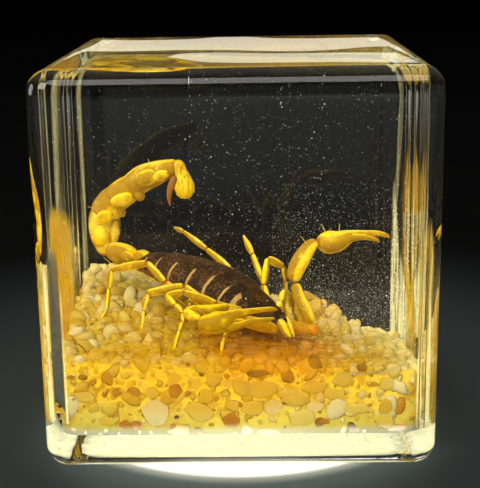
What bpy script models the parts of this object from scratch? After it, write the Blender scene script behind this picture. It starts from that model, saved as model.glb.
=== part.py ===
"""Scorpion over a bed of coloured gravel, cast in a clear resin block.

The block stands on its flat base, its front face looks along -Y, and the
origin is the middle of the base. The cast block is parted in two at the
level where its first pour ended, so that the bed and the specimen can lie
in a pocket. Run it with: blender --background --python part.py
"""

import math

import bmesh
import bpy
import numpy as np
from mathutils import Vector

MM = 0.001

# Block: outer size, the level of the first pour and the edge rounding.
BLOCK_WIDTH = 45.0 * MM
BLOCK_DEPTH = 45.0 * MM
BLOCK_HEIGHT = 45.8 * MM
EDGE_RADIUS = 2.2 * MM
EDGE_STEPS = 3
POUR_LEVEL = 12.5 * MM
GAP = 0.3 * MM

# Pocket: how far its walls stand off the bed's top and underside, the bed's
# sides and the specimen.
BED_ALLOWANCE = 0.5 * MM
BED_SIDE_ALLOWANCE = 0.45 * MM
SPECIMEN_ALLOWANCE = 0.36 * MM

# Gravel bed: plan, underside and the heights of its sloping top.
BED_HALF_WIDTH = 20.9 * MM
BED_CORNER = 2.8 * MM
BED_POCKET_CORNER = 1.4 * MM
BED_BOTTOM = 3.8 * MM
BED_FRONT_LEFT = 13.2 * MM
BED_FRONT_RIGHT = 12.1 * MM
BED_BACK_LEFT = 17.4 * MM
BED_BACK_RIGHT = 7.3 * MM
BED_COLUMNS = 22
BED_SIDE_ROWS = 3
BED_POCKET_COLUMNS = 12
HEAP_PLACE = (9.6 * MM, 14.0 * MM)
HEAP_RADIUS = 5.0 * MM
HEAP_HEIGHT = 3.4 * MM

# Gravel lumps: spacing and height of the bumps that stand for grains.
LUMP_SPACING = 3.0 * MM
LUMP_HEIGHT = 0.7 * MM
LUMP_SEED = 7
SIDE_WAVE = 0.016

# Specimen: stations are (x, y, z, half width, half height), all in mm, from
# the tail end of the trunk to the front of the head shield.
TRUNK = [
    (-12.0, 2.0, 20.6, 1.6, 1.3),
    (-10.6, 0.9, 20.7, 2.3, 1.6),
    (-8.8, -0.3, 20.5, 2.9, 2.0),
    (-6.3, -2.1, 19.9, 3.5, 2.3),
    (-3.6, -4.1, 19.1, 3.8, 2.5),
    (-1.0, -6.1, 18.3, 3.8, 2.5),
    (1.2, -7.8, 17.4, 3.5, 2.3),
    (3.4, -9.4, 16.7, 3.1, 2.0),
    (5.4, -10.9, 15.9, 1.9, 1.3),
]

# Seams between the trunk's seven plates and the head shield, as shares of
# its length from the tail end, and the step down behind each seam.
PLATE_SEAMS = (0.09, 0.185, 0.30, 0.44, 0.56, 0.64)
SEAM_WIDTH = 0.018
PLATE_STEP = 0.16

# Round limbs: stations are (x, y, z, radius) in mm.
TAIL = [
    (-10.8, 1.0, 20.7, 1.4),
    (-12.2, 2.1, 20.8, 1.2),
    (-13.9, 3.5, 20.8, 1.6),
    (-15.9, 4.9, 20.6, 1.2),
    (-16.5, 5.3, 21.4, 1.3),
    (-16.9, 5.7, 23.3, 2.15),
    (-16.9, 5.4, 25.6, 1.85),
    (-16.3, 4.9, 27.0, 2.05),
    (-15.1, 4.3, 27.9, 1.85),
    (-13.7, 3.6, 28.9, 2.05),
    (-12.0, 2.7, 30.2, 1.65),
    (-9.8, 1.5, 31.6, 1.75),
    (-7.8, 0.3, 32.4, 1.15),
    (-6.6, -0.3, 32.7, 0.85),
]
VENOM_BULB = [
    (-6.9, -0.2, 32.7, 0.6),
    (-6.5, -0.4, 32.1, 1.1),
    (-6.4, -0.6, 31.1, 1.5),
    (-6.5, -0.6, 29.9, 1.35),
    (-6.8, -0.6, 28.9, 0.6),
]
STING = [
    (-6.9, -0.5, 31.9, 0.6),
    (-7.6, -0.5, 31.3, 0.5),
    (-7.9, -0.5, 29.8, 0.4),
    (-8.2, -0.5, 27.9, 0.15),
]
CHELICERAE = [
    [(4.9, -9.9, 15.9, 0.8), (6.1, -10.7, 14.8, 0.85), (6.8, -11.2, 13.8, 0.4)],
    [(4.1, -11.0, 15.8, 0.8), (5.3, -12.0, 14.8, 0.85), (6.0, -12.5, 13.8, 0.4)],
]
LEGS = {
    "near_first": [
        (2.6, -11.2, 15.6, 0.8),
        (0.8, -14.3, 16.4, 0.6),
        (-0.7, -15.2, 17.0, 0.5),
        (-1.7, -16.5, 14.9, 0.4),
        (-2.1, -18.3, 12.9, 0.25),
    ],
    "near_second": [
        (1.2, -10.0, 16.0, 0.9),
        (-1.5, -12.5, 17.0, 0.6),
        (-4.8, -12.3, 18.8, 0.6),
        (-8.5, -11.7, 19.5, 0.6),
        (-6.6, -14.4, 17.4, 0.6),
        (-6.7, -16.0, 15.9, 0.5),
        (-7.8, -18.0, 13.1, 0.3),
    ],
    "near_third": [
        (0.0, -8.6, 16.2, 0.9),
        (-2.4, -10.9, 17.1, 0.6),
        (-4.0, -10.9, 17.9, 0.7),
        (-6.3, -10.5, 20.1, 0.6),
        (-10.9, -9.5, 19.1, 0.6),
        (-11.5, -10.0, 16.5, 0.4),
        (-11.8, -10.5, 14.2, 0.35),
        (-12.7, -11.3, 13.7, 0.25),
    ],
    "near_fourth": [
        (-1.4, -6.8, 16.4, 0.9),
        (-4.6, -7.8, 16.9, 0.7),
        (-7.4, -7.0, 17.4, 0.7),
        (-10.6, -4.6, 21.9, 0.7),
        (-15.4, -1.8, 20.6, 0.6),
        (-16.0, -2.0, 17.9, 0.4),
        (-16.2, -3.0, 15.6, 0.35),
        (-16.9, -4.0, 14.9, 0.25),
    ],
    "far_first": [
        (4.2, -8.8, 16.2, 0.8),
        (5.0, -7.8, 17.6, 0.7),
        (5.6, -6.6, 18.3, 0.8),
        (6.2, -6.1, 16.7, 0.6),
        (7.2, -5.8, 14.0, 0.4),
    ],
    "far_second": [
        (3.4, -7.0, 17.0, 0.8),
        (3.5, -6.2, 19.2, 0.6),
        (3.5, -4.6, 21.9, 0.7),
        (5.3, -3.6, 20.6, 0.5),
        (5.6, -2.8, 17.2, 0.35),
        (6.2, -2.0, 13.2, 0.3),
    ],
    "far_third": [
        (2.4, -6.2, 17.4, 0.8),
        (3.2, -5.7, 18.4, 0.5),
        (2.7, -4.0, 20.3, 0.45),
        (1.6, -2.2, 22.1, 0.6),
        (1.0, -1.3, 23.2, 0.6),
        (0.5, -0.5, 24.5, 0.4),
    ],
    "far_fourth": [
        (0.6, -4.6, 18.2, 0.8),
        (-1.1, -1.6, 20.4, 0.5),
        (-4.0, 1.1, 22.4, 0.5),
        (-5.2, 2.3, 23.4, 0.75),
        (-6.6, 3.5, 24.5, 0.65),
        (-7.7, 4.5, 25.4, 0.5),
        (-8.2, 6.0, 24.4, 0.3),
    ],
}
SPURS = {
    "far_third": [(1.5, -2.0, 22.3, 0.4), (0.1, -1.5, 22.7, 0.25)],
    "far_fourth": [(-3.9, 1.1, 22.3, 0.4), (-4.4, 1.0, 21.2, 0.2)],
}
CLAW_ARMS = {
    "near": [
        (3.4, -11.0, 16.0, 1.0),
        (0.6, -12.8, 16.7, 0.9),
        (-2.9, -13.9, 17.8, 0.9),
        (-6.1, -14.8, 17.5, 0.9),
        (-5.9, -16.4, 17.2, 1.0),
        (-4.4, -17.9, 17.0, 0.7),
    ],
    "far": [
        (5.2, -9.6, 15.4, 1.0),
        (7.9, -8.9, 14.9, 0.8),
        (8.4, -8.6, 15.6, 0.8),
        (7.4, -8.1, 17.8, 1.1),
        (6.5, -7.5, 19.7, 0.9),
        (7.4, -7.2, 21.3, 1.4),
        (8.6, -6.7, 23.4, 1.1),
        (9.3, -6.5, 24.5, 0.8),
    ],
}
CLAW_HANDS = {
    "near": [
        (-4.6, -17.9, 17.0, 0.9),
        (-3.6, -18.2, 17.0, 1.5),
        (-2.2, -18.5, 17.3, 1.7),
        (-0.4, -18.4, 17.8, 1.2),
        (1.4, -18.2, 18.2, 0.7),
        (3.2, -17.9, 18.4, 0.45),
        (4.7, -17.5, 18.4, 0.3),
    ],
    "far": [
        (9.0, -6.6, 24.5, 0.8),
        (10.2, -6.3, 24.4, 1.4),
        (11.4, -6.0, 24.3, 1.6),
        (12.9, -5.6, 24.5, 1.1),
        (14.2, -5.2, 24.8, 0.7),
        (16.2, -4.6, 24.8, 0.5),
        (18.1, -4.0, 24.5, 0.35),
    ],
}
CLAW_FINGERS = {
    "near": [
        (-2.2, -18.5, 16.5, 0.8),
        (-0.6, -18.5, 16.7, 0.65),
        (1.6, -18.2, 17.0, 0.45),
        (4.2, -17.6, 17.3, 0.3),
    ],
    "far": [
        (11.9, -5.9, 23.9, 0.8),
        (13.6, -5.4, 24.0, 0.6),
        (15.4, -4.9, 24.0, 0.45),
        (16.8, -4.5, 23.8, 0.3),
    ],
}

# Sides of each kind of limb, on the specimen and on the plainer pocket.
SPECIMEN_SIDES = {"trunk": 12, "tail": 8, "claw": 8, "leg": 6}
POCKET_SIDES = {"trunk": 8, "tail": 6, "claw": 6, "leg": 4}

# Joints: a limb that bends more than this is two runs that overlap by this
# share of the limb's radius.
SHARP_BEND = math.radians(48.0)
JOINT_OVERLAP = 0.7


def clear_scene():
    """Remove every object of the open scene."""
    for existing in list(bpy.data.objects):
        bpy.data.objects.remove(existing, do_unlink=True)


def new_collection(name):
    """Return a collection of that name in the scene."""
    collection = bpy.data.collections.new(name)
    bpy.context.scene.collection.children.link(collection)
    return collection


def new_object(name, mesh, collection):
    """Put a mesh in the collection as an object at the origin."""
    made = bpy.data.objects.new(name, mesh)
    collection.objects.link(made)
    return made


def new_material(name, colour, roughness, transmission=0.0):
    """Return a Principled material; colour is linear RGB."""
    material = bpy.data.materials.new(name)
    material.use_nodes = True
    shader = material.node_tree.nodes["Principled BSDF"]
    shader.inputs["Base Color"].default_value = (*colour, 1.0)
    shader.inputs["Roughness"].default_value = roughness
    shader.inputs["Metallic"].default_value = 0.0
    shader.inputs["Transmission Weight"].default_value = transmission
    return material


def smooth_step(low, high, value):
    """Ease from 0 at low to 1 at high."""
    t = min(max((value - low) / (high - low), 0.0), 1.0)
    return t * t * (3.0 - 2.0 * t)


def station_frames(points):
    """Yield (tangent, side, up) at each point of a path, along its bisectors."""
    for index, point in enumerate(points):
        before = point - points[max(index - 1, 0)]
        after = points[min(index + 1, len(points) - 1)] - point
        tangent = Vector((0.0, 0.0, 0.0))
        for step in (before, after):
            if step.length > 0.0:
                tangent += step.normalized()
        tangent.normalize()
        side = tangent.cross(Vector((0.0, 0.0, 1.0)))
        if side.length < 0.35:
            side = tangent.cross(Vector((0.55, -0.83, 0.0)))
        side.normalize()
        yield tangent, side, side.cross(tangent)


def loft(name, stations, sides, allowance):
    """Return a closed mesh through elliptical rings, grown by the allowance.

    A station is (x, y, z, half width) or (x, y, z, half width, half height).
    Grown rings stand outside their ellipse, so that the allowance is kept.
    """
    points = [Vector(station[:3]) * MM for station in stations]
    outside = 1.0 / math.cos(math.pi / sides) if allowance > 0.0 else 1.0
    shape = bmesh.new()
    rings = []
    last = len(points) - 1
    previous_side = None
    for index, (tangent, side, up) in enumerate(station_frames(points)):
        if previous_side is not None:
            # Carry the first ring's turn along, so that the skin doesn't twist.
            side = (previous_side - tangent * previous_side.dot(tangent)).normalized()
            up = side.cross(tangent)
        previous_side = side
        half_width = (stations[index][3] * MM + allowance) * outside
        half_height = (stations[index][-1] * MM + allowance) * outside
        centre = points[index].copy()
        if index == 0:
            centre -= tangent * allowance
        if index == last:
            centre += tangent * allowance
        ring = []
        for step in range(sides):
            angle = 2.0 * math.pi * (step + 0.5) / sides
            across = side * (half_width * math.cos(angle))
            over = up * (half_height * math.sin(angle))
            ring.append(shape.verts.new(centre + across + over))
        rings.append(ring)
    for ring, following in zip(rings, rings[1:]):
        for step in range(sides):
            after = (step + 1) % sides
            shape.faces.new((ring[step], ring[after], following[after], following[step]))
    shape.faces.new(rings[0])
    shape.faces.new(rings[-1])
    bmesh.ops.recalc_face_normals(shape, faces=shape.faces)
    bmesh.ops.triangulate(shape, faces=shape.faces)
    mesh = bpy.data.meshes.new(name)
    shape.to_mesh(mesh)
    shape.free()
    return mesh


def trunk_station(share):
    """Return the trunk's station at a share of its length."""
    place = share * (len(TRUNK) - 1)
    index = min(int(place), len(TRUNK) - 2)
    part = place - index
    pairs = zip(TRUNK[index], TRUNK[index + 1])
    return [start + (end - start) * part for start, end in pairs]


def trunk_stations(allowance):
    """Return the trunk's rings, with a ledge at each seam of the specimen."""
    if allowance > 0.0:
        return TRUNK
    rings = [TRUNK[0]]
    for seam in PLATE_SEAMS:
        rings.append(tuple(trunk_station(seam - SEAM_WIDTH)))
        *place, half_width, half_height = trunk_station(seam)
        rings.append((*place, half_width + PLATE_STEP, half_height + PLATE_STEP))
    rings.extend(TRUNK[-3:])
    return rings


def straight_runs(stations):
    """Split a limb at its sharp bends into runs that overlap at each joint."""
    points = [Vector(station[:3]) for station in stations]
    runs = []
    run = [stations[0]]
    for index in range(1, len(stations) - 1):
        arriving = (points[index] - points[index - 1]).normalized()
        leaving = (points[index + 1] - points[index]).normalized()
        run.append(stations[index])
        if arriving.angle(leaving) > SHARP_BEND:
            past = JOINT_OVERLAP * stations[index][-1]
            run[-1] = (*(points[index] + arriving * past), *stations[index][3:])
            runs.append(run)
            run = [(*(points[index] - leaving * past), *stations[index][3:])]
    run.append(stations[-1])
    runs.append(run)
    return runs


def specimen_shapes(allowance, sides):
    """Return the meshes that the specimen is fused from, as (name, mesh)."""
    limbs = [
        ("trunk", trunk_stations(allowance), sides["trunk"]),
        ("tail", TAIL, sides["tail"]),
        ("bulb", VENOM_BULB, sides["tail"]),
        ("sting", STING, sides["leg"]),
    ]
    for index, stations in enumerate(CHELICERAE):
        limbs.append((f"chelicera_{index + 1}", stations, sides["leg"]))
    for name, stations in LEGS.items():
        limbs.append((f"leg_{name}", stations, sides["leg"]))
    for name, stations in SPURS.items():
        limbs.append((f"spur_{name}", stations, POCKET_SIDES["leg"]))
    for reach in CLAW_ARMS:
        limbs.append((f"arm_{reach}", CLAW_ARMS[reach], sides["claw"]))
        limbs.append((f"hand_{reach}", CLAW_HANDS[reach], sides["claw"]))
        limbs.append((f"finger_{reach}", CLAW_FINGERS[reach], sides["leg"]))
    shapes = []
    for name, stations, count in limbs:
        for index, run in enumerate(straight_runs(stations)):
            shapes.append((f"{name}_{index}", loft(name, run, count, allowance)))
    return shapes


def apply_modifiers(target):
    """Give the object the mesh that its modifiers make, and drop them."""
    graph = bpy.context.evaluated_depsgraph_get()
    mesh = bpy.data.meshes.new_from_object(target.evaluated_get(graph))
    target.modifiers.clear()
    target.data = mesh


def add_boolean(target, operation, other):
    """Add an exact Boolean with one other object."""
    boolean = target.modifiers.new(f"{operation.lower()}_{other.name}", "BOOLEAN")
    boolean.operation = operation
    boolean.solver = "EXACT"
    boolean.object = other


def make_specimen(name, allowance, sides, collection, cutters):
    """Fuse the trunk, the tail and the limbs into one object."""
    shapes = specimen_shapes(allowance, sides)
    specimen = new_object(name, shapes[0][1], collection)
    for shape_name, mesh in shapes[1:]:
        limb = new_object(f"{name}_{shape_name}", mesh, cutters)
        mark_cutter(limb)
        add_boolean(specimen, "UNION", limb)
        apply_modifiers(specimen)
    return specimen


def lump_centres():
    """Return the places of the bed's lumps, a jittered grid of points."""
    random = np.random.default_rng(LUMP_SEED)
    reach = BED_HALF_WIDTH + LUMP_SPACING
    count = int(2.0 * reach / LUMP_SPACING) + 1
    steps = np.arange(count) * LUMP_SPACING - reach
    grid = np.array([(x, y) for x in steps for y in steps])
    return grid + random.uniform(-0.35, 0.35, grid.shape) * LUMP_SPACING


def bed_height(x, y):
    """Return the height of the bed's top, without its lumps, at a place."""
    across = (x + BED_HALF_WIDTH) / (2.0 * BED_HALF_WIDTH)
    along = (y + BED_HALF_WIDTH) / (2.0 * BED_HALF_WIDTH)
    front = BED_FRONT_LEFT + (BED_FRONT_RIGHT - BED_FRONT_LEFT) * across
    fall = smooth_step(0.15, 0.95, across)
    back = BED_BACK_LEFT + (BED_BACK_RIGHT - BED_BACK_LEFT) * fall
    height = front + (back - front) * along
    from_heap = math.hypot(x - HEAP_PLACE[0], y - HEAP_PLACE[1]) / HEAP_RADIUS
    return height + HEAP_HEIGHT * math.exp(-from_heap * from_heap)


def lump_height(x, y, lumps):
    """Return how far the nearest lump stands above the bed at a place."""
    nearest = float(np.min(np.hypot(lumps[:, 0] - x, lumps[:, 1] - y)))
    round_off = max(1.0 - (nearest / (0.6 * LUMP_SPACING)) ** 2, 0.0)
    return LUMP_HEIGHT * math.sqrt(round_off)


def plan_place(across, along, corner):
    """Return a place in the rounded square plan from two values in -1..1."""
    flat = BED_HALF_WIDTH - corner
    x = across * BED_HALF_WIDTH
    y = along * BED_HALF_WIDTH
    over_x = abs(x) - flat
    over_y = abs(y) - flat
    if over_x > 0.0 and over_y > 0.0:
        reach = math.hypot(over_x, over_y)
        scale = max(over_x, over_y) / reach
        x = math.copysign(flat + over_x * scale, x)
        y = math.copysign(flat + over_y * scale, y)
    return x, y


def make_gravel(name, columns, allowance, collection):
    """Build the lumpy bed, or the even pocket around it with an allowance."""
    lumps = lump_centres()
    shape = bmesh.new()
    last = columns - 1
    aside = BED_SIDE_ALLOWANCE if allowance > 0.0 else 0.0
    corner = BED_POCKET_CORNER if allowance > 0.0 else BED_CORNER
    grow = (BED_HALF_WIDTH + aside) / BED_HALF_WIDTH
    bottom = BED_BOTTOM - allowance
    top = {}
    for column in range(columns):
        for row in range(columns):
            across = 2.0 * column / last - 1.0
            x, y = plan_place(across, 2.0 * row / last - 1.0, corner)
            rise = LUMP_HEIGHT if allowance > 0.0 else lump_height(x, y, lumps)
            z = bed_height(x, y) + rise + allowance
            top[column, row] = shape.verts.new((x * grow, y * grow, z))
    for column in range(last):
        for row in range(last):
            corners = ((0, 0), (1, 0), (1, 1), (0, 1))
            shape.faces.new([top[column + i, row + j] for i, j in corners])
    rim = [(step, 0) for step in range(last)]
    rim += [(last, step) for step in range(last)]
    rim += [(last - step, last) for step in range(last)]
    rim += [(0, last - step) for step in range(last)]
    upper = [top[place] for place in rim]
    for level in range(1, BED_SIDE_ROWS + 1):
        share = level / BED_SIDE_ROWS
        lower = []
        for index, place in enumerate(rim):
            x, y, z = top[place].co
            wave = 0.5 + 0.5 * math.sin(2.4 * index + 2.1 * level)
            inset = 1.0 - SIDE_WAVE * wave * (1.0 - share) if allowance == 0.0 else 1.0
            lower.append(shape.verts.new((x * inset, y * inset, z + (bottom - z) * share)))
        for index, vertex in enumerate(upper):
            after = (index + 1) % len(upper)
            shape.faces.new((vertex, lower[index], lower[after], upper[after]))
        upper = lower
    shape.faces.new(upper)
    bmesh.ops.recalc_face_normals(shape, faces=shape.faces)
    bmesh.ops.triangulate(shape, faces=shape.faces)
    mesh = bpy.data.meshes.new(name)
    shape.to_mesh(mesh)
    shape.free()
    return new_object(name, mesh, collection)


def make_slab(name, low, high, collection):
    """Return a plain box over the block's plan, from one level to another."""
    shape = bmesh.new()
    bmesh.ops.create_cube(shape, size=1.0)
    for vertex in shape.verts:
        vertex.co.x *= 2.0 * BLOCK_WIDTH
        vertex.co.y *= 2.0 * BLOCK_DEPTH
        vertex.co.z = low if vertex.co.z < 0.0 else high
    mesh = bpy.data.meshes.new(name)
    shape.to_mesh(mesh)
    shape.free()
    return new_object(name, mesh, collection)


def make_block(name, low, high, collection, cutters):
    """Return the rounded block between two levels."""
    shape = bmesh.new()
    bmesh.ops.create_cube(shape, size=1.0)
    for vertex in shape.verts:
        vertex.co.x *= BLOCK_WIDTH
        vertex.co.y *= BLOCK_DEPTH
        vertex.co.z = (vertex.co.z + 0.5) * BLOCK_HEIGHT
    bmesh.ops.bevel(
        shape,
        geom=shape.edges,
        offset=EDGE_RADIUS,
        segments=EDGE_STEPS,
        profile=0.5,
        affect="EDGES",
    )
    bmesh.ops.triangulate(shape, faces=shape.faces)
    mesh = bpy.data.meshes.new(name)
    shape.to_mesh(mesh)
    shape.free()
    block = new_object(name, mesh, collection)
    slab = make_slab(f"{name}_slab", low, high, cutters)
    mark_cutter(slab)
    add_boolean(block, "INTERSECT", slab)
    return block


def mark_cutter(shape):
    """Show a helper shape as wire and keep it out of the model."""
    shape.hide_render = True
    shape.display_type = "WIRE"


def main():
    """Build the four nodes of the object."""
    clear_scene()
    parts = new_collection("scorpion_in_resin_block")
    cutters = new_collection("cutters")

    specimen = make_specimen("scorpion", 0.0, SPECIMEN_SIDES, parts, cutters)
    specimen.data.materials.clear()
    specimen.data.materials.append(new_material("shell", (0.45, 0.24, 0.02), 0.35))

    pocket = make_specimen(
        "specimen_pocket", SPECIMEN_ALLOWANCE, POCKET_SIDES, cutters, cutters
    )
    mark_cutter(pocket)

    gravel = make_gravel("gravel_bed", BED_COLUMNS, 0.0, parts)
    gravel.data.materials.append(new_material("gravel", (0.62, 0.38, 0.08), 0.6))
    add_boolean(gravel, "DIFFERENCE", pocket)

    bed_pocket = make_gravel("bed_pocket", BED_POCKET_COLUMNS, BED_ALLOWANCE, cutters)
    mark_cutter(bed_pocket)

    resin = new_material("clear_resin", (0.95, 0.96, 0.93), 0.03, transmission=1.0)
    margin = 10.0 * MM
    levels = {
        "resin_lower": (-margin, POUR_LEVEL - 0.5 * GAP),
        "resin_upper": (POUR_LEVEL + 0.5 * GAP, BLOCK_HEIGHT + margin),
    }
    for name, (low, high) in levels.items():
        half = make_block(name, low, high, parts, cutters)
        add_boolean(half, "DIFFERENCE", bed_pocket)
        add_boolean(half, "DIFFERENCE", pocket)
        apply_modifiers(half)
        half.data.materials.clear()
        half.data.materials.append(resin)


main()
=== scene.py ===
"""Scorpion over a bed of coloured gravel, cast in a clear resin block.

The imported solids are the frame. The finished specimen, grains and clear block
are built in the same place here, as an add-on with one operator for each
group of pieces, and all of it stands still on the body "root".
"""

import math

import bmesh
import bpy
import numpy as np
from bpy.props import (
    FloatProperty,
    FloatVectorProperty,
    IntProperty,
    PointerProperty,
)
from mathutils import Matrix, Vector, noise


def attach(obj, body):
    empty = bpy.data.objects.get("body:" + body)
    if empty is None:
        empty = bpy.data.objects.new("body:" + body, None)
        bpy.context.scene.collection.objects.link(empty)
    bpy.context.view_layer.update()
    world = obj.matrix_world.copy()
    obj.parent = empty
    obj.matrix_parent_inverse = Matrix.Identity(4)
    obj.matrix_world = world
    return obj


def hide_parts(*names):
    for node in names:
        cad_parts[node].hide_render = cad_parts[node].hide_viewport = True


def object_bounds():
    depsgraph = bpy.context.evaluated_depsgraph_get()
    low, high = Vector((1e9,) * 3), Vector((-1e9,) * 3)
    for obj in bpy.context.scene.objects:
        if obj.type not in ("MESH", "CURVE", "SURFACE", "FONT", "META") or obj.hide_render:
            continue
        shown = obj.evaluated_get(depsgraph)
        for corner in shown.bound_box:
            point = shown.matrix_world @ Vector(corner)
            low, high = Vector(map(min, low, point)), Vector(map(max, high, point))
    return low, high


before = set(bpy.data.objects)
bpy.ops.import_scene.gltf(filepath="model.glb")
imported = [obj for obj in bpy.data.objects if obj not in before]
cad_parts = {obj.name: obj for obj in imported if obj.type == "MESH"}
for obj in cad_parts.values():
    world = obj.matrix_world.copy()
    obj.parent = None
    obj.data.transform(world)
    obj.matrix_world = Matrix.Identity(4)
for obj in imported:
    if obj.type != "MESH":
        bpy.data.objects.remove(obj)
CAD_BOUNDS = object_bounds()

bl_info = {
    "name": "Scorpion in Resin Block",
    "version": (1, 0, 0),
    "blender": (4, 5, 0),
    "location": "3D View > Sidebar > Resin Block",
    "description": "Builds a scorpion over gravel, cast in a clear resin block",
    "category": "Add Mesh",
}

MM = 0.001
BODY = "root"

# Gravel bed in mm, as in the solids: half width, corner radius, underside and
# the heights of its sloping top, left before right. The heap at the back right
# has its x, y, radius and height.
BED_HALF = 20.9
BED_CORNER = 2.8
BED_BOTTOM = 3.8
BED_FRONT_HEIGHTS = (13.2, 12.1)
BED_BACK_HEIGHTS = (17.4, 7.3)
HEAP = (9.6, 14.0, 5.0, 3.4)

# Trunk: x, y, z, half width, half height in mm, from the tail to the head.
TRUNK = [
    (-12.0, 2.0, 20.4, 1.5, 1.15),
    (-10.6, 0.9, 20.4, 2.2, 1.4),
    (-8.8, -0.3, 20.1, 2.8, 1.85),
    (-6.3, -2.1, 19.6, 3.5, 2.2),
    (-3.6, -4.1, 18.9, 3.8, 2.4),
    (-1.0, -6.1, 18.0, 3.8, 2.4),
    (1.2, -7.8, 16.85, 3.3, 2.05),
    (3.3, -9.4, 15.85, 2.4, 1.5),
    (5.2, -10.9, 15.6, 1.15, 0.75),
]
# Where each back plate starts, as a share of the trunk's length. The last is
# the head shield.
PLATE_SEAMS = (0.0, 0.13, 0.25, 0.36, 0.47, 0.57, 0.66, 0.725)
# How far a plate stands out where it starts in mm, and how much of the trunk's
# length its seam and the seam's pale rim take.
PLATE_STEP = 0.16
SEAM_WIDTH = 0.003
RIM_WIDTH = 0.011
# How edgy the trunk's outline is (2 is round), and the depth of its belly as a
# share of the height of its back.
TRUNK_POWER = 2.1
FLAT_BELLY = 0.85
# Eyes: x, y, z, radius in mm.
EYES = [(2.35, -9.35, 17.55, 0.24), (2.05, -9.75, 17.55, 0.24)]

# Tail: x, y, z, radius in mm along each segment, from the trunk to the bulb.
TAIL_SEGMENTS = [
    [(-11.0, 0.6, 20.8, 0.95), (-12.0, 1.3, 21.0, 1.2), (-13.0, 1.9, 21.2, 0.95)],
    [(-12.7, 1.6, 21.2, 0.95), (-14.5, 2.8, 21.6, 1.2), (-16.3, 4.5, 21.6, 1.1)],
    [
        (-16.9, 4.5, 20.9, 0.69),
        (-16.8, 4.9, 21.9, 1.22),
        (-16.8, 5.3, 23.1, 1.72),
        (-16.8, 5.5, 24.6, 1.94),
        (-16.7, 5.5, 26.1, 1.84),
        (-16.3, 5.3, 27.2, 1.43),
    ],
    [
        (-16.8, 5.5, 25.1, 1.72),
        (-16.6, 5.4, 26.3, 1.84),
        (-16.0, 5.2, 27.2, 1.85),
        (-15.3, 5.0, 28.1, 1.75),
        (-14.5, 4.7, 28.9, 1.45),
    ],
    [
        (-15.9, 4.9, 27.4, 1.56),
        (-15.1, 4.7, 28.2, 1.72),
        (-14.1, 4.4, 29.0, 1.76),
        (-13.1, 4.1, 29.7, 1.62),
        (-12.1, 3.8, 30.4, 1.35),
    ],
    [
        (-13.8, 4.0, 29.3, 1.42),
        (-12.8, 3.8, 30.0, 1.59),
        (-11.7, 3.4, 30.8, 1.65),
        (-10.4, 2.6, 31.4, 1.53),
        (-9.1, 1.7, 32.0, 1.28),
        (-8.0, 0.9, 32.5, 0.96),
        (-7.3, 0.4, 32.9, 0.78),
    ],
]
# Keels that stand out on the tail: start, end, radius in mm, and how bright,
# which is painted light: lit lobes are painted bright and shaded ones darker.
TAIL_KEELS = [
    ((-17.2, 3.8, 25.2), (-17.4, 3.7, 22.2), 1.06, 0.4),
    ((-15.7, 4.7, 25.7), (-15.9, 4.5, 22.4), 0.99, -0.25),
    ((-17.5, 3.1, 25.8), (-15.5, 2.8, 26.5), 0.82, 0.4),
    ((-15.0, 3.7, 26.5), (-14.0, 3.6, 26.9), 0.72, -0.2),
    ((-15.7, 2.8, 27.8), (-12.9, 2.4, 28.8), 0.82, 0.35),
    ((-12.8, 3.0, 28.6), (-11.5, 2.8, 29.1), 0.76, -0.2),
    ((-12.5, 2.0, 30.6), (-9.6, 1.0, 31.7), 0.98, -0.05),
    ((-10.3, 1.0, 31.1), (-8.4, 0.1, 31.9), 0.64, 0.35),
    ((-14.6, 2.1, 21.7), (-12.9, 0.9, 21.0), 0.76, -0.25),
    ((-15.8, 2.9, 21.2), (-14.5, 2.1, 20.5), 0.62, -0.2),
]
# Venom bulb and sting: x, y, z, radius in mm, from the tail to the tip.
BULB = [
    (-7.5, 0.1, 33.0, 0.70),
    (-7.1, -0.3, 32.8, 0.72),
    (-6.8, -0.5, 32.0, 0.78),
    (-6.6, -0.6, 31.2, 1.02),
    (-6.5, -0.6, 30.3, 1.26),
    (-6.6, -0.6, 29.6, 1.14),
    (-6.8, -0.6, 29.1, 0.74),
    (-6.9, -0.6, 28.85, 0.25),
]
STING = [
    (-7.4, -0.9, 31.6, 0.48),
    (-7.9, -1.1, 30.8, 0.43),
    (-8.2, -1.2, 29.9, 0.36),
    (-8.3, -1.3, 28.9, 0.24),
    (-8.2, -1.3, 28.0, 0.06),
]

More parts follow.
